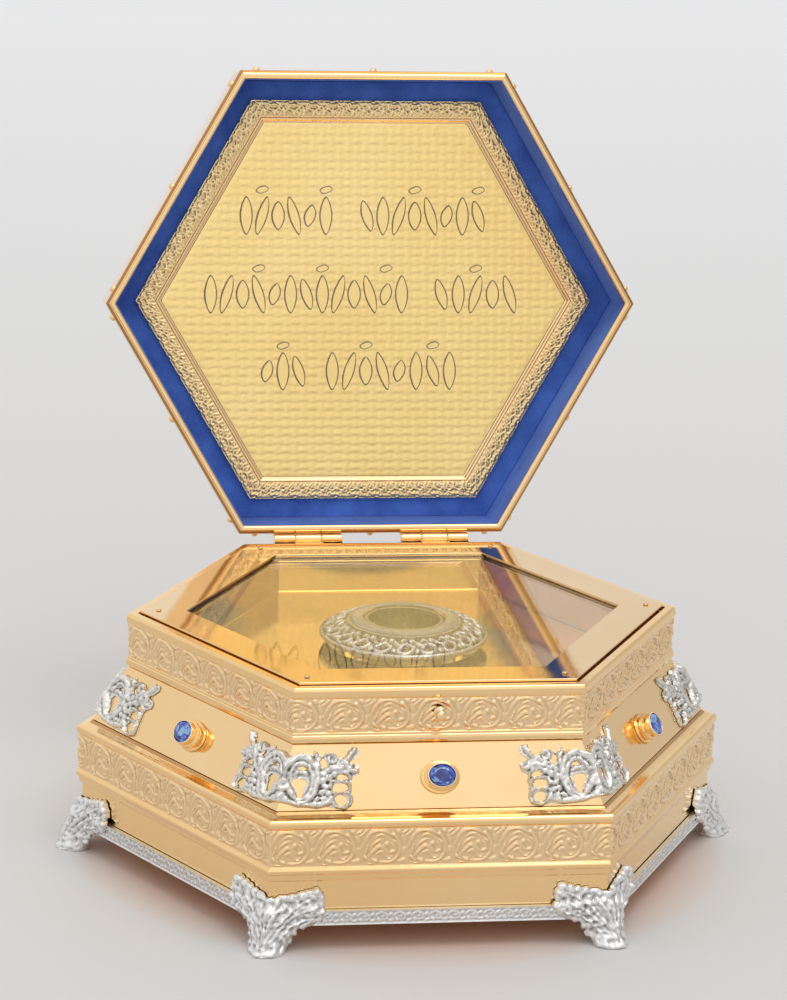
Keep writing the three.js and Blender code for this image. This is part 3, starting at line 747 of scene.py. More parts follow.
def add_tiers():
    tile = scroll_tile()
    for node, steps, low, high, units in (
        ("lower_tier", LOWER_STEPS, 21.6, 35.0, 45),
        ("upper_tier", UPPER_STEPS, 3.95, 16.1, 38),
    ):
        bottom, top = node_box(node)
        wall = Build().grid(hex_sweep(soften(from_box(node, steps), 0.35)))
        piece(node.replace("_tier", "_walls"), wall, "casket", MOULDED_GOLD, [node])
        start, end = ((top[0] - BAND_IN, bottom[2] + rise) for rise in (low, high))
        band = relief_band(start, end, (1, 0), tile, units, BAND_STEP)
        piece(node.replace("_tier", "_scroll_band"), band, "casket", GOLD_BAND, sharp=80)


def add_middle():
    thick, top = 3.2, WALL_FOOT + WALL_RISE
    profile = [(WALL_R, WALL_FOOT), (WALL_R - WALL_RUN, top)]
    profile += [(WALL_R - WALL_RUN - thick, top), (WALL_R - thick, WALL_FOOT)]
    wall = Build().grid(hex_sweep(soften(profile, 0.4), 0.6))
    piece("leaning_walls", wall, "casket", GOLD, ["middle_tier"])
    corner, ledge = node_box("lower_tier")[1][0], node_box("lower_tier")[1][2]
    steps = [(8.6, 0), (8.6, 0.08), (5.7, 0.08), (4.9, -0.7), (5.2, -0.8), (6, 0)]
    # a thin dark sheet laid over the ledge: painted dark reflection
    painted_reflection_strip = Build().grid(hex_sweep([(corner - inset, ledge + rise) for inset, rise in steps]))
    piece("ledge_painted_reflection_strip", painted_reflection_strip, "casket", LEDGE_PAINTED_REFLECTION)


def add_base():
    low, high = node_box("base_strip")
    strip = relief_band((high[0], low[2]), (high[0], high[2]), (1, 0), strip_tile(), 114, 0.42, depth=1.45)
    piece("base_strip_relief", strip, "casket", SILVER, ["base_strip"], sharp=80)


# ---------------------------------------------------------------- top plate, glass and well
def add_plate():
    low, high = node_box("frame_plate")
    seat, opening, lip = node_box("glass_pane")[1][0] + 0.3, 80.3, 1.0
    edge, top = high[0] - 0.55, high[2]
    profile = [(seat, low[2]), (edge, low[2]), (edge, top), (opening, top)]
    profile += [(opening, top - lip), (seat, top - lip)]
    plate = Build().grid(hex_sweep(soften(profile, 0.3), 0.5))
    piece("top_plate", plate, "casket", PLATE_GOLD, ["frame_plate"])
    low, high = node_box("glass_pane")
    pane = Build().capped(hex_sweep([(high[0], low[2]), (high[0], high[2])], 0.5))
    piece("top_glass", pane, "casket", GLASS, ["glass_pane"])
    low, high = node_box("well_tray")
    thick, inner, heel = 1.6, 78.2, 75.2
    floor, outer, flange = low[2] + thick, inner + thick, high[2] - thick
    profile = [(heel, low[2]), (outer, low[2]), (outer, flange), (high[0], flange)]
    profile += [(high[0], high[2]), (inner, high[2]), (inner, floor), (heel, floor)]
    tray = Build().grid(hex_sweep(soften(profile, 0.5)))
    tray.capped(hex_sweep([(heel + 0.1, low[2] + 0.05), (heel + 0.1, floor - 0.01)]))
    piece("well", tray, "casket", WELL_GOLD, ["well_tray"])


def add_screws():
    dome = ((1.0, 0), (1.0, 0.35), (0.85, 0.5), (0.5, 0.6))  # (radius, share of the node's height)
    for k in range(6):
        low, high = node_box(f"frame_screw_{k + 1}")
        x, y, _ = (low + high) / 2 - [0, HEX_Y, 0]
        head = lathe([(r, low[2] + share * (high[2] - low[2])) for r, share in dome], 24)
        screw = Build().capped(head + [x, y, 0])
        piece(f"plate_screw_{k + 1}", screw, "casket", PLATE_GOLD, [f"frame_screw_{k + 1}"])


# ---------------------------------------------------------------- gems
GEM_SIDES = 64
GEM_UP = 10.7  # from the foot of the leaning wall to a stone's middle, up the slope
CUP_OVAL, STONE_OVAL = 0.84, 0.82  # their height for a width of 1
CUP_PROFILE = [
    (6.8, 0.15), (6.85, 0.6), (6.6, 0.95), (5.9, 1.1), (5.3, 1.3), (5.1, 1.6), (5.3, 1.9), (5.85, 2.15),
    (6.05, 2.5), (5.9, 2.85), (5.4, 3.05), (5.0, 3.3), (4.95, 4.1), (5.05, 4.7), (5.15, 5.1), (5.0, 5.35),
    (4.85, 5.4), (4.65, 5.2), (4.6, 4.6), (3.4, 3.8),
]
COLLET_PROFILE = [(4.58, 5.1), (4.58, 5.5), (4.72, 5.68), (4.9, 5.66), (5.0, 5.45), (5.0, 5.1)]
BEAD_PROFILE = [(0.15, -0.34), (0.3, -0.2), (0.36, 0), (0.3, 0.2), (0.15, 0.34)]
# The stone's rings of facet corners: (radius, height, turned by this share of a facet).
FACETS = 16
STONE_RINGS = [
    (1.0, 4.1, 0), (3.2, 4.6, 0.5), (4.6, 5.25, 0), (4.6, 5.4, 0),
    (4.05, 5.95, 0.5), (3.3, 6.35, 0), (2.5, 6.6, 0.5),
]


def stone_rings():
    turn = np.linspace(0, 2 * math.pi, FACETS, endpoint=False) + math.pi / FACETS
    rings = []
    for r, z, share in STONE_RINGS:
        t = turn + share * 2 * math.pi / FACETS
        rings.append(level(np.column_stack([r * np.cos(t), r * STONE_OVAL * np.sin(t)]), z))
    return np.array(rings)


def add_gems():
    middle = [0, GEM_UP, 0]
    for k in range(6):
        azimuth = 30 + 60 * k
        cup = Build().capped(on_leaning_wall(lathe(CUP_PROFILE, GEM_SIDES, CUP_OVAL) + middle, azimuth))
        for turn in np.linspace(0, 2 * math.pi, 28, endpoint=False):
            spot = [4.9 * math.cos(turn), 4.9 * CUP_OVAL * math.sin(turn) + GEM_UP, 5.3]
            cup.capped(on_leaning_wall(lathe(BEAD_PROFILE, 8) * 0.9 + spot, azimuth))
        piece(f"gem_cup_{k + 1}", cup, "casket", DEEP_GOLD, [f"gem_setting_{k + 1}"])
        collet = Build().grid(on_leaning_wall(lathe(COLLET_PROFILE, GEM_SIDES, CUP_OVAL) + middle, azimuth))
        piece(f"gem_collet_{k + 1}", collet, "casket", COLLET_GOLD)
        stone = Build().capped(on_leaning_wall(stone_rings() + middle, azimuth))
        piece(f"sapphire_{k + 1}", stone, "casket", STONE, [f"gem_stone_{k + 1}"], sharp=5)


def add_latch():
    low, high = node_box("latch_button")
    knob = [(2.3, 0.1), (2.3, 0.9), (1.7, 1.3), (1.25, 2.2), (1.6, 3.0), (1.75, 3.9), (1.3, 4.6), (0.6, 4.85)]
    button = Build().capped(on_face(lathe(knob, 32), 270, UPPER_WALL, (low[2] + high[2]) / 2))
    piece("latch_knob", button, "casket", GOLD_BAND, ["latch_button"])


# ---------------------------------------------------------------- pierced corner mounts
def rough_field(rows, columns, cell, seed):
    """Smooth random lumps about `cell` grid steps across, from -1 to 1."""
    rng = np.random.default_rng(seed)
    coarse = rng.uniform(-1, 1, (int(rows / cell) + 3, int(columns / cell) + 3))
    y, x = np.arange(rows) / cell, np.arange(columns) / cell
    across = np.array([np.interp(x, np.arange(coarse.shape[1]), row) for row in coarse])
    field = np.array([np.interp(y, np.arange(coarse.shape[0]), column) for column in across.T]).T
    return blurred(field, wrap=False)


def within(outline, x, y):
    """How far each point is inside a closed outline; outside it is less than nothing."""
    ends = np.array(outline, float)
    nearest, crossings = np.full(x.shape, 1e9), np.zeros(x.shape, int)
    for a, b in zip(ends, np.roll(ends, -1, 0)):
        nearest = np.minimum(nearest, to_segment(x, y, a, b)[1])
        crosses = (a[1] > y) != (b[1] > y)
        rise = b[1] - a[1] if abs(b[1] - a[1]) > 1e-9 else 1e-9
        crossings += crosses & (x < a[0] + (y - a[1]) * (b[0] - a[0]) / rise)
    return np.where(crossings % 2 == 1, nearest, -nearest)


def centred(start, end, step):
    """Even steps from about start to about end, one of them at 0."""
    steps = np.arange(start, end, step)
    return steps - steps[np.abs(steps).argmin()]


def to_edge(inside, free):
    """Small moves, across and up, that draw the `free` points beside an edge onto it."""
    most = 0.6 * CAST_STEP
    gy, gx = np.gradient(inside, CAST_STEP)
    near = free & (np.abs(inside) < most)
    pull = np.where(near, -inside / np.maximum(gx**2 + gy**2, 0.3), 0)
    return np.clip(pull * gx, -most, most), np.clip(pull * gy, -most, most)


def filled(inside):
    """The cells of a grid that lie mostly inside."""
    return sum(corners(inside)) > 0


FINE, CAST_STEP = 0.15, 0.37  # between the points of a cast relief, and of the mesh made from it
WING_LONG, WING_HIGH = 31.0, 23.0
WING_OUTLINE = [
    (-3, 3.2), (0.8, 3), (3.7, 2.5), (7.2, 1.2), (12.6, 0.9), (14.3, 0.6), (17.9, 1.2), (20, 0.9),
    (21.5, 0.3), (24.0, 0.3), (25.9, 1.2), (26.5, 3.5), (26.1, 6), (26.3, 10.2), (26.6, 11.4),
    (28.9, 12.5), (29.3, 14.7), (28.2, 15.6), (25.4, 16.4), (27.5, 17.6), (29.3, 19.8), (28.6, 21.6),
    (26.1, 21.7), (25, 19.2), (23.6, 17.6), (22.2, 18.4), (20.7, 19.8), (18.6, 20.1), (16.5, 18.9),
    (15.2, 19.7), (13.8, 20.9), (13.2, 19.3), (11.5, 19.8), (8.6, 20.2), (5.8, 18.9), (3.4, 17.4), (-3, 17.4),
]
WING_OPENINGS = [
    [
        (5.5, 9.6), (6.4, 10.9), (8.2, 11.2), (10.2, 10.7), (10.7, 9.5),
        (9.8, 8.0), (9.2, 5.6), (8.2, 4.4), (7.3, 4.7), (6.9, 7.0),
    ],
    [(7.4, 14.3), (8.8, 15.3), (10.4, 15.1), (10.9, 14.2), (9.2, 14.2)],
    [(15.5, 16.5), (16.6, 18.1), (17.6, 17.2), (18.0, 15.5), (16.6, 15.0)],
    [(21.0, 10.8), (21.8, 12.2), (23.6, 12.4), (25.0, 11.2), (24.6, 10.5)],
    [(19.7, 6.9), (20.2, 9.0), (22.4, 9.4), (24.5, 8.7), (24.7, 7.0), (22.0, 6.6)],
    [(20.0, 4.0), (21.4, 5.2), (23.6, 5.0), (24.6, 3.4), (23.4, 1.7), (21.4, 1.9)],
]


def wing_relief():
    """One wing of a mount, x along the wall from its bottom corner and y up the slope."""
    r = Relief(np.arange(-1, WING_LONG, FINE), np.arange(-1, WING_HIGH, FINE))
    arch = [(2.7, 7.6), (2.4, 11.2), (3.6, 14.8), (6.0, 17.6), (8.8, 18.7), (11.6, 17.8), (13.6, 15.4)]
    r.stroke(arch + [(14.5, 12.4), (14.6, 9.6)], 2.9, 1.5, (0.7, 0.8), 0.7)
    inner = [(4.9, 12.6), (6.4, 15.2), (8.8, 16.5), (11.2, 15.6), (12.6, 13.2), (12.9, 10.2), (11.9, 7.0)]
    r.stroke(inner + [(9.8, 4.4), (7.2, 3.4)], 2.0, 1.2, (0.5, 0.8), 0.6)
    r.stroke([(6.8, 13.0), (9.0, 13.5), (11.0, 12.4)], 2.0, 0.9, (0.6, 0.6), 0.6)
    r.stroke([(13.9, 13.0), (13.8, 9.0), (12.6, 5.6), (10.2, 3.0), (7.0, 2.2)], 2.4, 1.3, (0.8, 0.7), 0.7)
    r.stroke([(2.3, 11.0), (3.9, 8.6), (5.2, 6.2), (7.0, 3.8)], 2.6, 1.2, (0.7, 0.7), 0.7)
    foot = [(0.4, 3.2), (3.4, 3.0), (6.6, 2.2), (9.6, 2.0), (13.0, 2.0), (16.6, 2.4), (19.4, 3.2)]
    r.stroke(foot, 2.6, 1.0, (0.9, 0.7), 0.7)
    for x, y, rx, ry, high, turn in (
        (1.6, 5.6, 1.9, 1.5, 1.3, 30), (2.6, 4.4, 1.7, 1.2, 1.2, -20), (4.8, 16.4, 1.8, 1.2, 1.1, 40),
        (1.8, 8.6, 1.6, 1.7, 1.2, 0), (3.0, 13.4, 1.6, 1.4, 1.2, 0), (3.6, 17.0, 1.5, 1.2, 0.9, 30),
        (3.2, 10.4, 1.5, 1.3, 1.4, 0),
        (16.4, 12.6, 1.6, 1.4, 1.2, 20), (18.0, 13.6, 1.5, 1.2, 1.1, -20), (16.2, 10.2, 1.5, 1.3, 1.3, 0),
        (18.4, 11.2, 1.6, 1.3, 1.4, 30), (17.0, 8.2, 1.6, 1.2, 1.2, -30), (18.9, 8.6, 1.3, 1.1, 1.1, 0),
        (15.9, 6.2, 1.5, 1.2, 1.2, 15), (17.9, 5.8, 1.5, 1.3, 1.3, -10), (16.4, 4.0, 1.5, 1.1, 1.0, 0),
        (18.6, 3.8, 1.4, 1.1, 1.1, 20), (13.9, 3.8, 1.4, 1.0, 1.1, 30), (20.2, 12.4, 1.4, 1.2, 1.1, 0),
        (20.6, 14.4, 1.7, 1.3, 1.2, 20), (23.0, 14.6, 1.9, 1.4, 1.2, 10), (25.0, 14.6, 1.8, 1.4, 1.1, 0),
    ):
        r.blob((x, y), (rx, ry), high, turn, 0.7)
    # the scrolls at the wing's tip
    r.stroke([(20.0, 12.4), (22.4, 13.4), (24.8, 12.6), (26.2, 10.4), (25.6, 8.2)], 1.3, 1.1, (0.9, 0.8), 0.5)
    r.stroke([(19.0, 9.8), (21.4, 10.4), (24.0, 10.0), (25.6, 8.2), (25.8, 6.0)], 1.2, 1.1, (0.8, 0.8), 0.5)
    curl = [(18.8, 6.2), (21.4, 6.0), (24.4, 6.2), (26.0, 4.4), (25.8, 2.0), (24.0, 0.6), (21.4, 0.9)]
    r.stroke(curl + [(19.4, 2.6)], 1.3, 1.1, (0.8, 0.9), 0.5)
    r.stroke([(14.6, 13.8), (15.0, 17.0), (13.8, 20.6)], 2.0, 1.0, (0.9, 0.25), 0.6)
    curl = [(15.2, 15.6), (16.2, 18.6), (18.6, 20.0), (21.2, 19.6), (22.4, 17.6), (21.2, 15.6), (19.0, 15.0)]
    r.stroke(curl, 1.7, 1.3, (0.7, 0.8), 0.6)
    r.blob((19.9, 17.7), (1.9, 1.9), 0.9, 0, 0.6)
    r.dent((19.9, 17.8), (1.1, 1.1), 1.1)
    r.stroke([(22.0, 15.4), (24.4, 17.4), (26.2, 19.4), (28.0, 21.6)], 2.5, 1.2, (0.8, 0.55), 0.6)
    r.stroke([(24.0, 17.0), (25.0, 19.2), (26.0, 21.6)], 1.6, 1.0, (0.8, 0.5), 0.6)
    r.stroke([(23.0, 15.6), (26.0, 16.2), (29.0, 16.0)], 2.0, 1.1, (0.8, 0.6), 0.6)
    r.stroke([(22.8, 14.4), (26.0, 13.6), (28.6, 13.4)], 1.9, 1.0, (0.8, 0.6), 0.6)
    r.inside = within(WING_OUTLINE, r.x, r.y)
    for opening in WING_OPENINGS:
        r.inside = np.minimum(r.inside, -within(curve(opening + opening[:1]), r.x, r.y))
    r.height = np.maximum(r.height, 0.55)
    return r


def add_mounts():
    relief = wing_relief()
    side = centred(-WING_LONG + 1.0, WING_LONG - 1.0 + CAST_STEP, CAST_STEP)
    up = np.arange(0.0, 22.2, CAST_STEP)
    s, v = np.meshgrid(np.abs(side), up)
    lead = WALL_RUN / 2 / math.hypot(WALL_RUN * COS30, WALL_RISE)  # the corner's slant, seen on a flat
    for k in range(6):
        inside, height = relief.at(s + lead * v, v)
        shape = inside.shape
        inside += 0.22 * rough_field(*shape, 4, 40 + k)
        height = height + 0.5 * rough_field(*shape, 2.4, 50 + k) + 0.3 * rough_field(*shape, 5, 60 + k)
        height = np.maximum(height * np.clip(inside / 0.5, 0, 1) ** 0.5, 0.4)
        # Both wings move the same way here, so the left one keeps a slightly rougher edge.
        move_s, move_v = to_edge(inside, s > CAST_STEP)
        moved_s, moved_v = s + move_s, v + move_v
        corner = 0.5774 * np.clip(1 - moved_s / 2.0, 0, 1)  # tan 30, to fill the mitre
        layers = []
        for lift in (height + 0.15, np.full(shape, 0.15)):
            along = -WALL_R / 2 + moved_s + lead * moved_v - corner * lift
            spots = on_leaning_wall(np.stack([along, moved_v, lift], -1), 30)
            spots[..., 1] = np.where(s < 1e-6, 0, spots[..., 1]) * np.where(side < 0, -1, 1)
            layers.append(turned(spots, 60 * k))
        mount = Build().sheet(*layers, filled(inside))
        names = f"pierced_mount_{k + 1}", f"corner_mount_{k + 1}"
        piece(names[0], mount, "casket", MOUNT_SILVER, [names[1]], sharp=50)


def turned(points, degrees):
    a = math.radians(degrees)
    c, s = math.cos(a), math.sin(a)
    x, y = points[..., 0], points[..., 1]
    return np.stack([c * x - s * y, s * x + c * y, points[..., 2]], -1)


# ---------------------------------------------------------------- leaf-cast feet
FOOT_HALF, FOOT_HIGH = 20.6, 26.0
# The broad parts of a leaf: (middle line, width, height, share of the width at its two ends).
LEAF_LOBES = [
    ([(0, -1.0), (1.2, 4.0), (3.6, 9.0), (8.0, 13.4), (13.2, 17.0)], 12.2, 1.0, (0.88, 0.66)),
    ([(8.0, 12.4), (12.6, 15.8), (16.4, 19.0)], 9.0, 1.0, (0.9, 0.55)),
    ([(8.0, 11.0), (13.0, 12.4), (17.4, 13.2)], 7.2, 0.9, (0.9, 0.5)),
    ([(0.4, 8.0), (2.0, 12.4), (4.6, 17.0)], 7.4, 0.8, (0.9, 0.8)),
]
# The round lobes along its edge: (x, y, size).
TOP_LOBES = [
    (16.9, 20.9, 2.0), (18.2, 19.2, 1.7), (14.0, 20.5, 1.7), (11.4, 19.8, 1.7),
    (8.6, 19.2, 1.6), (6.0, 18.6, 1.5), (3.2, 18.0, 1.6), (0.8, 17.8, 1.6),
]
SIDE_LOBES = [
    (18.6, 17.4, 1.5), (18.8, 14.6, 1.5), (17.9, 12.0, 1.4), (15.0, 10.6, 1.3),
    (12.0, 9.2, 1.3), (9.2, 7.0, 1.3), (7.6, 4.4, 1.3),
]
LEAF_RIBS = [
    [(0.8, 3.0), (2.8, 9.0), (7.4, 14.4), (13.0, 18.0), (17.4, 20.4)],
    [(2.2, 5.0), (5.0, 9.6), (10.0, 13.6), (15.0, 15.8), (18.4, 16.4)],
    [(4.2, 5.4), (7.4, 9.0), (12.0, 11.2), (16.4, 12.4)],
    [(1.2, 9.0), (2.4, 13.0), (5.0, 16.4)],
]


def foot_relief():
    """The leaf of a foot on both sides of its corner, x along the walls and y up."""
    r = Relief(np.arange(-FOOT_HALF, FOOT_HALF + 0.1, FINE), np.arange(-0.6, FOOT_HIGH, FINE))
    for m in (-1, 1):
        for points, wide, high, ends in LEAF_LOBES:
            r.stroke([(m * x, y) for x, y in points], wide, high, ends, power=0.3)
        for x, y, size in TOP_LOBES:
            r.blob((m * x, y), (size, size * 0.9), 1.3, m * 30)
        for x, y, size in SIDE_LOBES:
            r.blob((m * x, y), (size, size), 1.1)
        for points in LEAF_RIBS:
            r.stroke([(m * x, y) for x, y in points], 1.5, 2.3, (0.7, 0.4), power=0.7)
        for x in (1.1, 3.2, 5.3):
            r.stroke([(m * x, 0.6), (m * x * 1.02, 3.4)], 1.7, 2.2, (0.8, 0.4), power=0.6)
    r.stroke([(0, 4.0), (0, 10.0), (0, 16.6)], 1.4, 2.0, (0.7, 0.5), power=0.7)
    return r


def add_feet():
    relief = foot_relief()
    reach = node_box("foot_1")[1][0]
    clear, under_tier = 119.9, node_box("lower_tier")[0][2] - 0.3
    strip_top = node_box("base_strip")[1][2] + 0.4
    side = centred(-FOOT_HALF + 0.3, FOOT_HALF, CAST_STEP)
    up = np.concatenate([[0.0], np.arange(0.3, 25.4, CAST_STEP)])
    s, z = np.meshgrid(side, up)
    # How far out the leg, the flared leaf and the toe's lean stand, measured from `clear`.
    knees = [0, 1.2, 2.2, 4.4, 10, 17.6, 26]
    leg = np.interp(z, knees, [reach - clear - 0.2, reach - clear - 0.1, 6.2, 5.1, 3.3, 1.7, 1.5])
    spine = np.exp(-((s / 5.6) ** 2))
    flare = 1.4 + 1.9 * np.clip((np.abs(s) - 5) / 14, 0, 1) ** 1.4 * np.clip((z - 8) / 12, 0, 1)
    lean = 0.5 * np.clip((7 - np.abs(s)) / 3, 0, 1) * np.clip(1 - z / 6, 0, 1)
    toe = np.clip(1 - (s / 7.4) ** 2, 0, 1) ** 0.5
    inward = 1.5 * np.clip((z - strip_top) / 2.5, 0, 1)
    for k in range(6):
        inside, height = relief.at(s, z)
        shape = inside.shape
        inside = inside + 0.3 * rough_field(*shape, 4, 80 + k)
        crumb = 1.0 * rough_field(*shape, 2.6, 90 + k) + 0.7 * rough_field(*shape, 5.5, 100 + k)
        edge = np.clip(inside / 1.6, 0, 1)
        front = leg * spine + flare * (1 - spine) + lean + (0.55 * (height - 1) + crumb) * edge
        front -= 1.1 * (1 - np.sqrt(1 - (1 - edge) ** 2))
        front = np.maximum(front, 0.5) - inward
        back = np.where(z < under_tier, -4.4 * toe * spine**0.3, np.maximum(front - 2.3, 0.05 - inward))
        front = np.where(z < 0.05, front - 0.4, front)
        move_s, move_z = to_edge(inside, z > 0.4)
        moved_s, moved_z = s + move_s, z + move_z
        blend = np.clip(np.abs(moved_s) / 6, 0, 1)
        tilt = np.sign(moved_s) * math.radians(30) * blend * blend * (3 - 2 * blend)
        layers = []
        for lift in (front, back):
            x = clear - 0.5 * np.abs(moved_s) + lift * np.cos(tilt)
            y = COS30 * moved_s + lift * np.sin(tilt)
            layers.append(turned(np.stack([np.minimum(x, reach), y, moved_z], -1), 60 * k))
        foot = Build().sheet(*layers, filled(inside))
        piece(f"leaf_foot_{k + 1}", foot, "casket", SILVER, [f"foot_{k + 1}"], sharp=60)


# ---------------------------------------------------------------- relic capsule
def add_capsule():
    low, high = node_box("capsule_dish")
    base, top = low[2], high[2]
    ring_in, ring_out, cup = 20.2, 31.0, 14.4
    profile = [
        (cup + 0.3, base), (27.5, base), (27.9, base + 0.4), (28.1, base + 2.4), (30.4, top - 6.9),
        (29.8, top - 6.3), (25.8, top - 4.3), (ring_in - 0.2, top - 3.35), (ring_in - 0.4, top - 0.7),
        (19.0, top - 0.2), (17.4, top), (15.6, top - 0.1), (cup + 0.6, top - 0.6),
    ]
    dish = Build().grid(lathe(soften(profile, 0.25), 96))
    piece("glass_dish", dish, "casket", GLASS, ["capsule_dish"])
    lip = [
        (15.3, top - 0.5), (15.3, top - 0.1), (16.0, top + 0.1), (17.8, top + 0.1), (19.2, top - 0.15),
        (20.0, top - 0.8), (20.1, top - 3.2), (19.5, top - 3.2), (19.4, top - 1.1), (17.5, top - 0.5),
    ]
    rim = Build().grid(lathe(soften(lip, 0.15), 72))
    piece("glass_lip", rim, "casket", MILKY_GLASS)
    add_filigree(ring_in, ring_out, top)
    inner = cup - 0.8
    profile = [
        (0.3, base), (cup, base), (cup, top - 0.9), (cup - 0.3, top - 0.55), (inner - 0.3, top - 0.55),
        (inner - 0.35, top - 1.6), (inner, base + 1), (0.3, base + 1),
    ]
    holder = Build().grid(lathe(soften(profile, 0.15), 72))
    piece("relic_cup", holder, "casket", OLIVE_GOLD, ["capsule_cup"])


def add_filigree(ring_in, ring_out, top):
    """The pierced silver collar: scrolls between two rims, twenty repeats round."""
    repeats, across, around = 20, 30, 40
    wide, rim_wide = ring_out - ring_in, 0.75
    pitch = math.pi * (ring_in + ring_out) / repeats
    x, y = np.arange(around) * pitch / around, np.linspace(0, wide, across)
    r = Relief(x - pitch / 2, y, pitch)
    curl = [(-4, 2.2), (-2.6, 4.6), (-0.6, 5.6), (1.3, 4.6), (1.4, 3.0), (0.2, 2.2), (-0.7, 2.9)]
    r.stroke(curl, 1.1, 0.7, (0.8, 0.7))
    r.stroke([(4, 6.2), (2.6, 8.4), (0.6, 9.2), (-1.4, 8.4), (-1.5, 7.0), (-0.3, 6.3)], 1.1, 0.7, (0.8, 0.7))
    r.stroke([(1.4, 4.6), (2.8, 5.4), (4, 6.4)], 1.0, 0.6, (0.9, 0.9))
    r.blob((3.2, 2.6), (0.9, 1.2), 0.75, 20)
    r.blob((-3.1, 8.0), (0.9, 1.1), 0.75, 20)
    rim = np.minimum(r.y, wide - r.y)
    arch = 0.7 * np.sqrt(np.clip(1 - (rim / rim_wide - 0.4) ** 2, 0, 1))
    unit = np.maximum(r.inside, rim_wide - rim), np.maximum(r.height, np.where(rim < rim_wide, arch, 0))
    inside, height = (np.tile(grid, (1, repeats)) for grid in unit)
    inside, height = (np.hstack([grid, grid[:, :1]]) for grid in (inside, height))
    angle = np.arange(around * repeats + 1) / (around * repeats) * 2 * math.pi
    radii = (ring_in + y)[:, None]
    fall = top - 1.7 - 4.3 * ((radii - ring_in) / wide) ** 1.7
    flat = radii * np.cos(angle), radii * np.sin(angle)
    upper = np.stack([*flat, fall + height * 0.9], -1)
    under = np.stack([*flat, np.broadcast_to(fall - 0.7, height.shape)], -1)
    collar = Build().sheet(upper, under, filled(inside))
    piece("filigree_collar", collar, "casket", COLLAR_SILVER, ["capsule_ring"], sharp=60)


# ---------------------------------------------------------------- lid
LID_LOW = 90.05  # the closed lid's rim plane
RIM_R, LID_TALL = 103.9, 28.9  # corner radius, and height above the rim plane
PANEL_R, PANEL_FACE = 81.0, 24.9
STRIP_OUT, STRIP_IN, STRIP_FACE = 90.9, 83.4, 24.1
LINING_FLOOR = 25.7


def lid_profile(points):
    """Lid profiles are (corner radius, height above the rim plane)."""
    return [(r, LID_LOW + h) for r, h in points]


def add_lid():
    outline = [
        (100.3, 1.3), (100.3, 0.5), (100.9, 0.05), (102.2, 0.05), (103.6, 0.9), (RIM_R, 1.6),
        (RIM_R, LID_TALL - 4.4), (RIM_R - 0.7, LID_TALL - 2.6), (RIM_R - 2.4, LID_TALL - 1.9),
        (RIM_R - 5.4, LID_TALL - 1.6), (RIM_R - 8, LID_TALL - 0.2), (RIM_R - 9.4, LID_TALL), (60, LID_TALL),
        (60, LID_TALL - 1.6), (101.3, LID_TALL - 1.6), (101.3, 1.3),
    ]
    shell = Build().grid(hex_sweep(soften(lid_profile(outline), 0.3), 0.7))
    shell.capped(hex_sweep(lid_profile([(60.2, LID_TALL - 1.58), (60.2, LID_TALL - 0.02)]), 0.7))
    bead = [(1.5, -0.3), (1.5, 0.25), (1.32, 0.75), (0.95, 1.2), (0.4, 1.45)]
    for azimuth in range(30, 360, 60):
        for place in (-0.44, 0, 0.44):
            ball = lathe(bead, 20) + [place * RIM_R, 4.6, 0]
            shell.capped(on_face(ball, azimuth, RIM_R * COS30, LID_LOW))
    piece("lid_case", shell, "lid", GOLD, ["lid_shell"])
    bevel = [
        (102.1, 0.0), (102.5, 0.3), (103.75, 0.75), (104.0, 1.5), (104.0, 2.6), (103.8, 2.6),
        (103.4, 1.2), (102.3, 0.5),
    ]
    edge = Build().grid(hex_sweep(soften(lid_profile(bevel), 0.08), 0.7))
    piece("lid_rim_edge", edge, "lid", RIM_GOLD)


def add_lining():
    """Blue velvet over board: the wall inside the rim and the flat margin round the panel."""
    rng = np.random.default_rng(7)
    deep = 27.0
    wall = [(99.8, 1.5), (101.0, 1.5), (101.0, deep), (99.8, deep)]
    margin = [(99.7, deep), (86, deep), (86, LINING_FLOOR), (99.7, LINING_FLOOR)]
    # the wall takes the lighter painted-light copy of the velvet, the margin the plain one
    for name, outline, finish in (("velvet_wall", wall, VELVET_PAINTED_LIGHT), ("velvet_margin", margin, VELVET)):
        profile = []
        rounded = soften(lid_profile(outline), 0.4, 4)
        for a, b in zip(rounded, np.roll(rounded, -1, 0)):
            parts = max(1, int(np.linalg.norm(b - a) / 3.0))
            profile += [a + (b - a) * t / parts for t in range(parts)]
        rings = hex_sweep(profile, along=np.linspace(0.01, 0.99, 32))
        wave = rng.normal(size=rings.shape[:2])
        for _ in range(14):
            wave = sum(np.roll(wave, way, axis) for axis in (0, 1) for way in (1, -1)) / 4
        rings[..., 2] += 0.1 * wave / np.abs(wave).max()
        piece(name, Build().grid(rings), "lid", finish, ["lid_lining"], sharp=60)


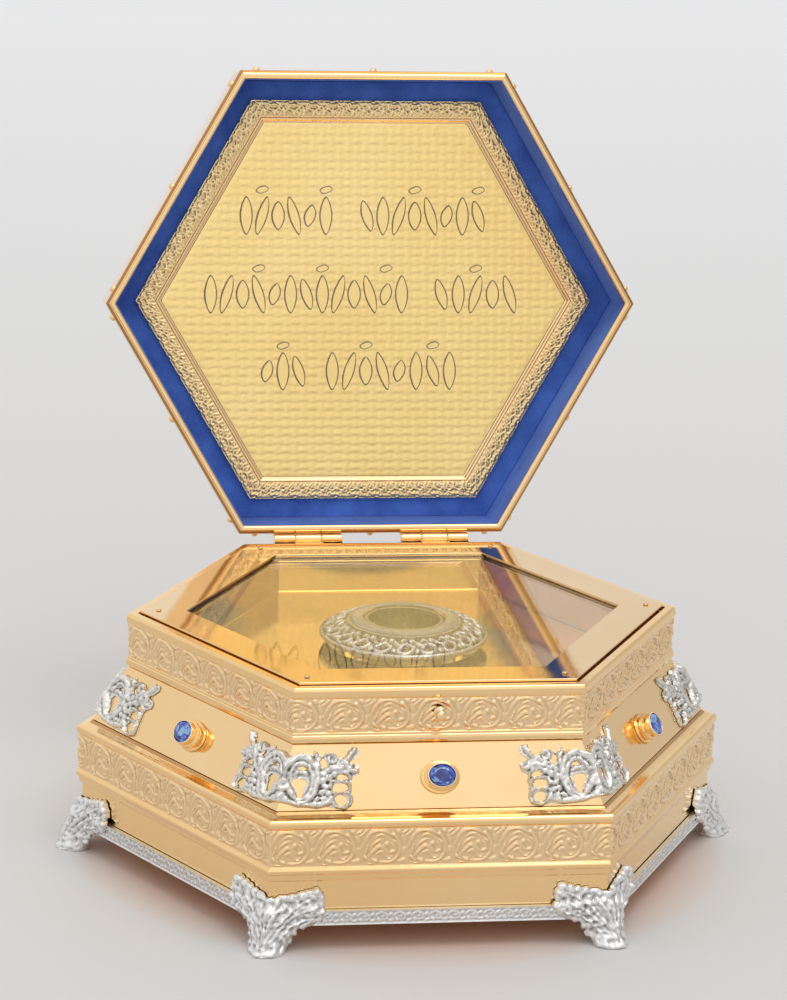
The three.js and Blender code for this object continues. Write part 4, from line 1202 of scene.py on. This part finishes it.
def add_panel():
    """The stamped strip, the bevel inside it, and the chased panel, which all face the closed casket."""
    start, end = lid_profile([(STRIP_OUT, STRIP_FACE), (STRIP_IN, STRIP_FACE)])
    strip = relief_band(start, end, (0, -1), 0.75 * lid_strip_tile(), 66, 0.36, depth=1.4)
    piece("lid_ornament_strip", strip, "lid", STRIP_GOLD, ["lid_border"], sharp=75)
    bevel = [
        (84.2, 25.6), (84.2, 24.7), (83.3, 24.25), (82.9, 23.9), (82.2, 24.0), (81.6, 24.7),
        (PANEL_R - 0.1, 24.8), (PANEL_R - 0.1, 25.6),
    ]
    edge = Build().grid(hex_sweep(soften(lid_profile(bevel), 0.2), 0.4))
    piece("panel_bevel", edge, "lid", GOLD_BAND, ["lid_border"])

    step, reach, face = 0.62, PANEL_R - 0.3, LID_LOW + PANEL_FACE
    across = reach * COS30
    x, y = np.meshgrid(np.arange(-reach, reach + step, step), np.arange(-across, across + step, step))
    inside = np.minimum(across - np.abs(y), across - np.abs(x) * COS30 - np.abs(y) / 2)
    scale = np.where(inside < 0, 1 + inside / np.hypot(x, y).clip(1), 1)  # draws the last points in
    top = np.stack([x * scale, y * scale, face - weave(x, y) * np.clip(inside / 1.5, 0, 1)], -1)
    under = np.stack([x * scale, y * scale, np.full(x.shape, face + 0.6)], -1)
    touched = np.maximum.reduce(corners(inside)) > 0
    panel = Build().sheet(top, under, touched, plain_back=True)
    piece("lid_chased_panel", panel, "lid", PANEL_GOLD, ["lid_panel"], sharp=80)


def weave(x, y):
    """Basket chasing: pillows in staggered rows, with a slim upright strand between them."""
    long, tall = 6.9, 3.4
    row = np.floor(y / tall)
    fx = ((x / long + 0.5 * (row % 2)) % 1.0) * 2 * math.pi
    fy = (y / tall - row) * math.pi
    pillow = np.clip(0.5 + 0.5 * np.cos(fx), 0, 1) ** 0.8 * np.sin(fy) ** 1.3
    upright = np.clip(0.5 - 0.5 * np.cos(fx), 0, 1) ** 4
    ribs = 0.5 + 0.5 * np.cos(2 * math.pi * (x * 4 / long + 0.25))
    return 0.14 * pillow + 0.14 * upright + 0.08 * pillow * ribs


# The rows of strokes on the panel: (height of the row's middle, its runs along the row).
STROKE_ROWS = [
    (33.5, ((-49.5, -13.5), (-1.5, 47.5))),
    (2.5, ((-63.5, 17.0), (28.5, 60.5))),
    (-28.0, ((-41.0, -24.0), (-15.0, 36.5))),
]
STROKE_SPACING = 6.7
# The leaves used in turn: (width, height, slant).
LEAVES = [
    (4.4, 14.4, 0.0), (3.6, 14.4, 2.0), (4.6, 10.6, 0.0), (3.6, 14.4, -2.0),
    (4.0, 8.0, 0.8), (4.4, 14.4, 0.0), (3.8, 11.6, -1.6),
]
SMALL_LEAF = (4.2, 2.4, 0.8)


def leaf_outline(wide, tall, slant, grow):
    """A pointed upright leaf, leaning sideways by `slant` and grown all round by `grow`."""
    turn = np.linspace(0, 2 * math.pi, 28, endpoint=False)
    up = np.sin(turn)
    x = (wide / 2 + grow) * np.cos(turn) * (1 - 0.35 * up**2) + slant * up
    return np.column_stack([x, -(tall / 2 + grow) * up])


def add_leaf(build, leaf, spot, levels):
    """One leaf on the panel at `spot`, from levels of (grown by, height above the panel's face)."""
    rings = [level(leaf_outline(*leaf, grow) + spot, LID_LOW + PANEL_FACE + z) for grow, z in levels]
    build.capped(np.array(rings))


def add_strokes():
    """Rows of shallow leaf-shaped strokes, each with a dark line round it. They spell nothing."""
    raised, lines = Build(), Build()
    layers = ((lines, 0.42, 0.62), (raised, 0.0, 0.85))
    count = 0
    for row, runs in STROKE_ROWS:
        for start, end in runs:
            places = int((end - start) / STROKE_SPACING) + 1
            for place in np.linspace(start + 2.2, end - 2.2, places):
                for build, grow, deep in layers:
                    levels = ((grow, 0.2), (grow, 0.12 - deep), (grow - 0.15, -deep))
                    add_leaf(build, LEAVES[count % len(LEAVES)], (place, -row), levels)
                    if count % 4 == 1:
                        add_leaf(build, SMALL_LEAF, (place, -row - 10.2), ((grow, 0.2), (grow, -deep)))
                count += 1
    piece("stroke_lines", lines, "lid", OUTLINE_BRONZE)
    piece("raised_strokes", raised, "lid", PANEL_GOLD)


# ---------------------------------------------------------------- hinges
def box_part(low, high):
    """A block with slightly bevelled edges, as rings for Build.capped."""
    (x0, y0, z0), (x1, y1, z1) = low, high
    e = min(0.18, 0.3 * min(x1 - x0, y1 - y0, z1 - z0))
    rings = []
    for z, inset in ((z0, e), (z0 + e, 0), (z1 - e, 0), (z1, e)):
        left, right, front, back = x0 + inset, x1 - inset, y0 + inset, y1 - inset
        ring = [(left + e, front), (right - e, front), (right, front + e), (right, back - e)]
        ring += [(right - e, back), (left + e, back), (left, back - e), (left, front + e)]
        rings.append(level(ring, z))
    return np.array(rings)


def barrel(x0, x1, r):
    """A knuckle lying along x on the hinge line."""
    e = 0.2
    rings = lathe([(r - e, x0), (r, x0 + e), (r, x1 - e), (r - e, x1)], 28)
    return np.stack([rings[..., 2], rings[..., 0] + HINGE_Y, rings[..., 1] + HINGE_Z], -1)


def add_screw_heads(build, x, y, z):
    """Two domed heads beside x, on a leaf whose face is at y."""
    for side in (-1, 1):
        head = lathe([(0.95, 0), (0.9, 0.35), (0.4, 0.5)], 16)
        build.capped(on_face(head - [x + side * 9, 0, 0], 90, y, z))


def add_hinges():
    half, mid, gap, knuckle = 13.35, 5.0, 0.3, 1.85
    back, wall = UPPER_WALL + 0.2, RIM_R * COS30 + 0.15
    for n, x in enumerate((-25.0, 25.0)):
        base = Build().capped(box_part((x - half, back, 79.5), (x + half, back + 1.2, 89.6)))
        for a, b in ((x - half, x - mid - gap), (x + mid + gap, x + half)):
            base.capped(box_part((a, back, 88.4), (b, HINGE_Y, 89.6)))
            base.capped(barrel(a, b, knuckle))
        base.capped(barrel(x - half + 0.6, x + half - 0.6, 0.8))
        add_screw_heads(base, x, back + 1.15, 84.1)
        piece(f"hinge_base_leaf_{n + 1}", base, "casket", GOLD, [f"hinge_base_{n + 1}"])
        leaf = Build().capped(box_part((x - half, wall, 92.7), (x + half, wall + 1.1, 100.5)))
        leaf.capped(box_part((x - mid, wall, 91.3), (x + mid, HINGE_Y, 93.2)))
        leaf.capped(barrel(x - mid, x + mid, knuckle))
        add_screw_heads(leaf, x, wall + 1.05, 96.9)
        piece(f"hinge_lid_leaf_{n + 1}", leaf, "lid", GOLD, [f"hinge_lid_{n + 1}"])


# ---------------------------------------------------------------- light and floor
def add_key_light():
    light = bpy.data.lights.new("key", "AREA")
    light.shape = "RECTANGLE"
    light.size, light.size_y = 2.0, 2.0
    light.energy = 26
    lamp = bpy.data.objects.new("key", light)
    lamp.location = (0.7, -0.7, 3.2)
    lamp.rotation_euler = (Vector((0, 0, 0.1)) - lamp.location).to_track_quat("-Z", "Y").to_euler()
    bpy.context.scene.collection.objects.link(lamp)


def add_world():
    """Soft light from all round: greys from left to right, and brighter high in front."""
    world = bpy.data.worlds.new("studio")
    bpy.context.scene.world = world
    n = Nodes(world, "Background", "Generated")
    way = n.add("ShaderNodeSeparateXYZ")
    n.put(way, 0, n.place)
    greys = [(0.0, 0.76), (0.2, 0.84), (0.55, 0.86), (0.8, 0.56), (1.0, 0.62)]
    stops = [(place, (grey, grey * 0.995, grey * 0.99)) for place, grey in greys]
    lift = n.add("ShaderNodeVectorMath", operation="DOT_PRODUCT")
    n.put(lift, 0, n.place)
    n.put(lift, 1, (0.0, -0.74, 0.67))
    n.finish(
        Color=n.ramp(n.spread(way.outputs["X"], 0, 1, -1, 1), stops),
        Strength=n.spread(lift.outputs["Value"], 1.06, 1.28, 0.80, 1.0),
    )


def add_floor():
    """A pale floor that reaches past the view, with painted shade making it darker towards the front, and a
    painted warm shadow and bounce light close under the casket.
    """
    mesh = bpy.data.meshes.new("floor")
    square = [(12 * x, 12 * y, 0) for x, y in ((-1, -1), (1, -1), (1, 1), (-1, 1))]
    mesh.from_pydata(square, [], [(0, 1, 2, 3)])
    floor = bpy.data.objects.new("floor", mesh)
    floor.location.y = HEX_Y * MM
    bpy.context.scene.collection.objects.link(floor)
    n = material_nodes("floor")
    place = n.add("ShaderNodeSeparateXYZ")
    n.put(place, 0, n.place)
    # painted shade: the floor's grey darkens towards the front
    away = n.spread(place.outputs["Y"], 0, 1, -0.6, 2.2)
    greys = [(0.0, (0.66, 0.645, 0.64)), (0.35, (0.68, 0.675, 0.67)), (1.0, (0.88, 0.885, 0.90))]
    out = n.add("ShaderNodeVectorMath", operation="LENGTH")
    n.put(out, 0, n.place)
    # painted shadow and warm bounce light: a warm brown disc under the casket, fading out by 124 mm from its axis
    colour = n.blend(out.outputs["Value"], 0.098, 0.124, (0.72, 0.50, 0.40), n.ramp(away, greys))
    mesh.materials.append(n.finish(Base_Color=colour, Roughness=0.6, Specular_IOR_Level=0.2))


add_world()
add_floor()
add_key_light()
dress_nodes()
add_tiers()
add_middle()
add_base()
add_plate()
add_screws()
add_gems()
add_latch()
add_mounts()
add_feet()
add_capsule()
add_lid()
add_lining()
add_panel()
add_strokes()
add_hinges()
bpy.context.scene.view_settings.view_transform = "Standard"
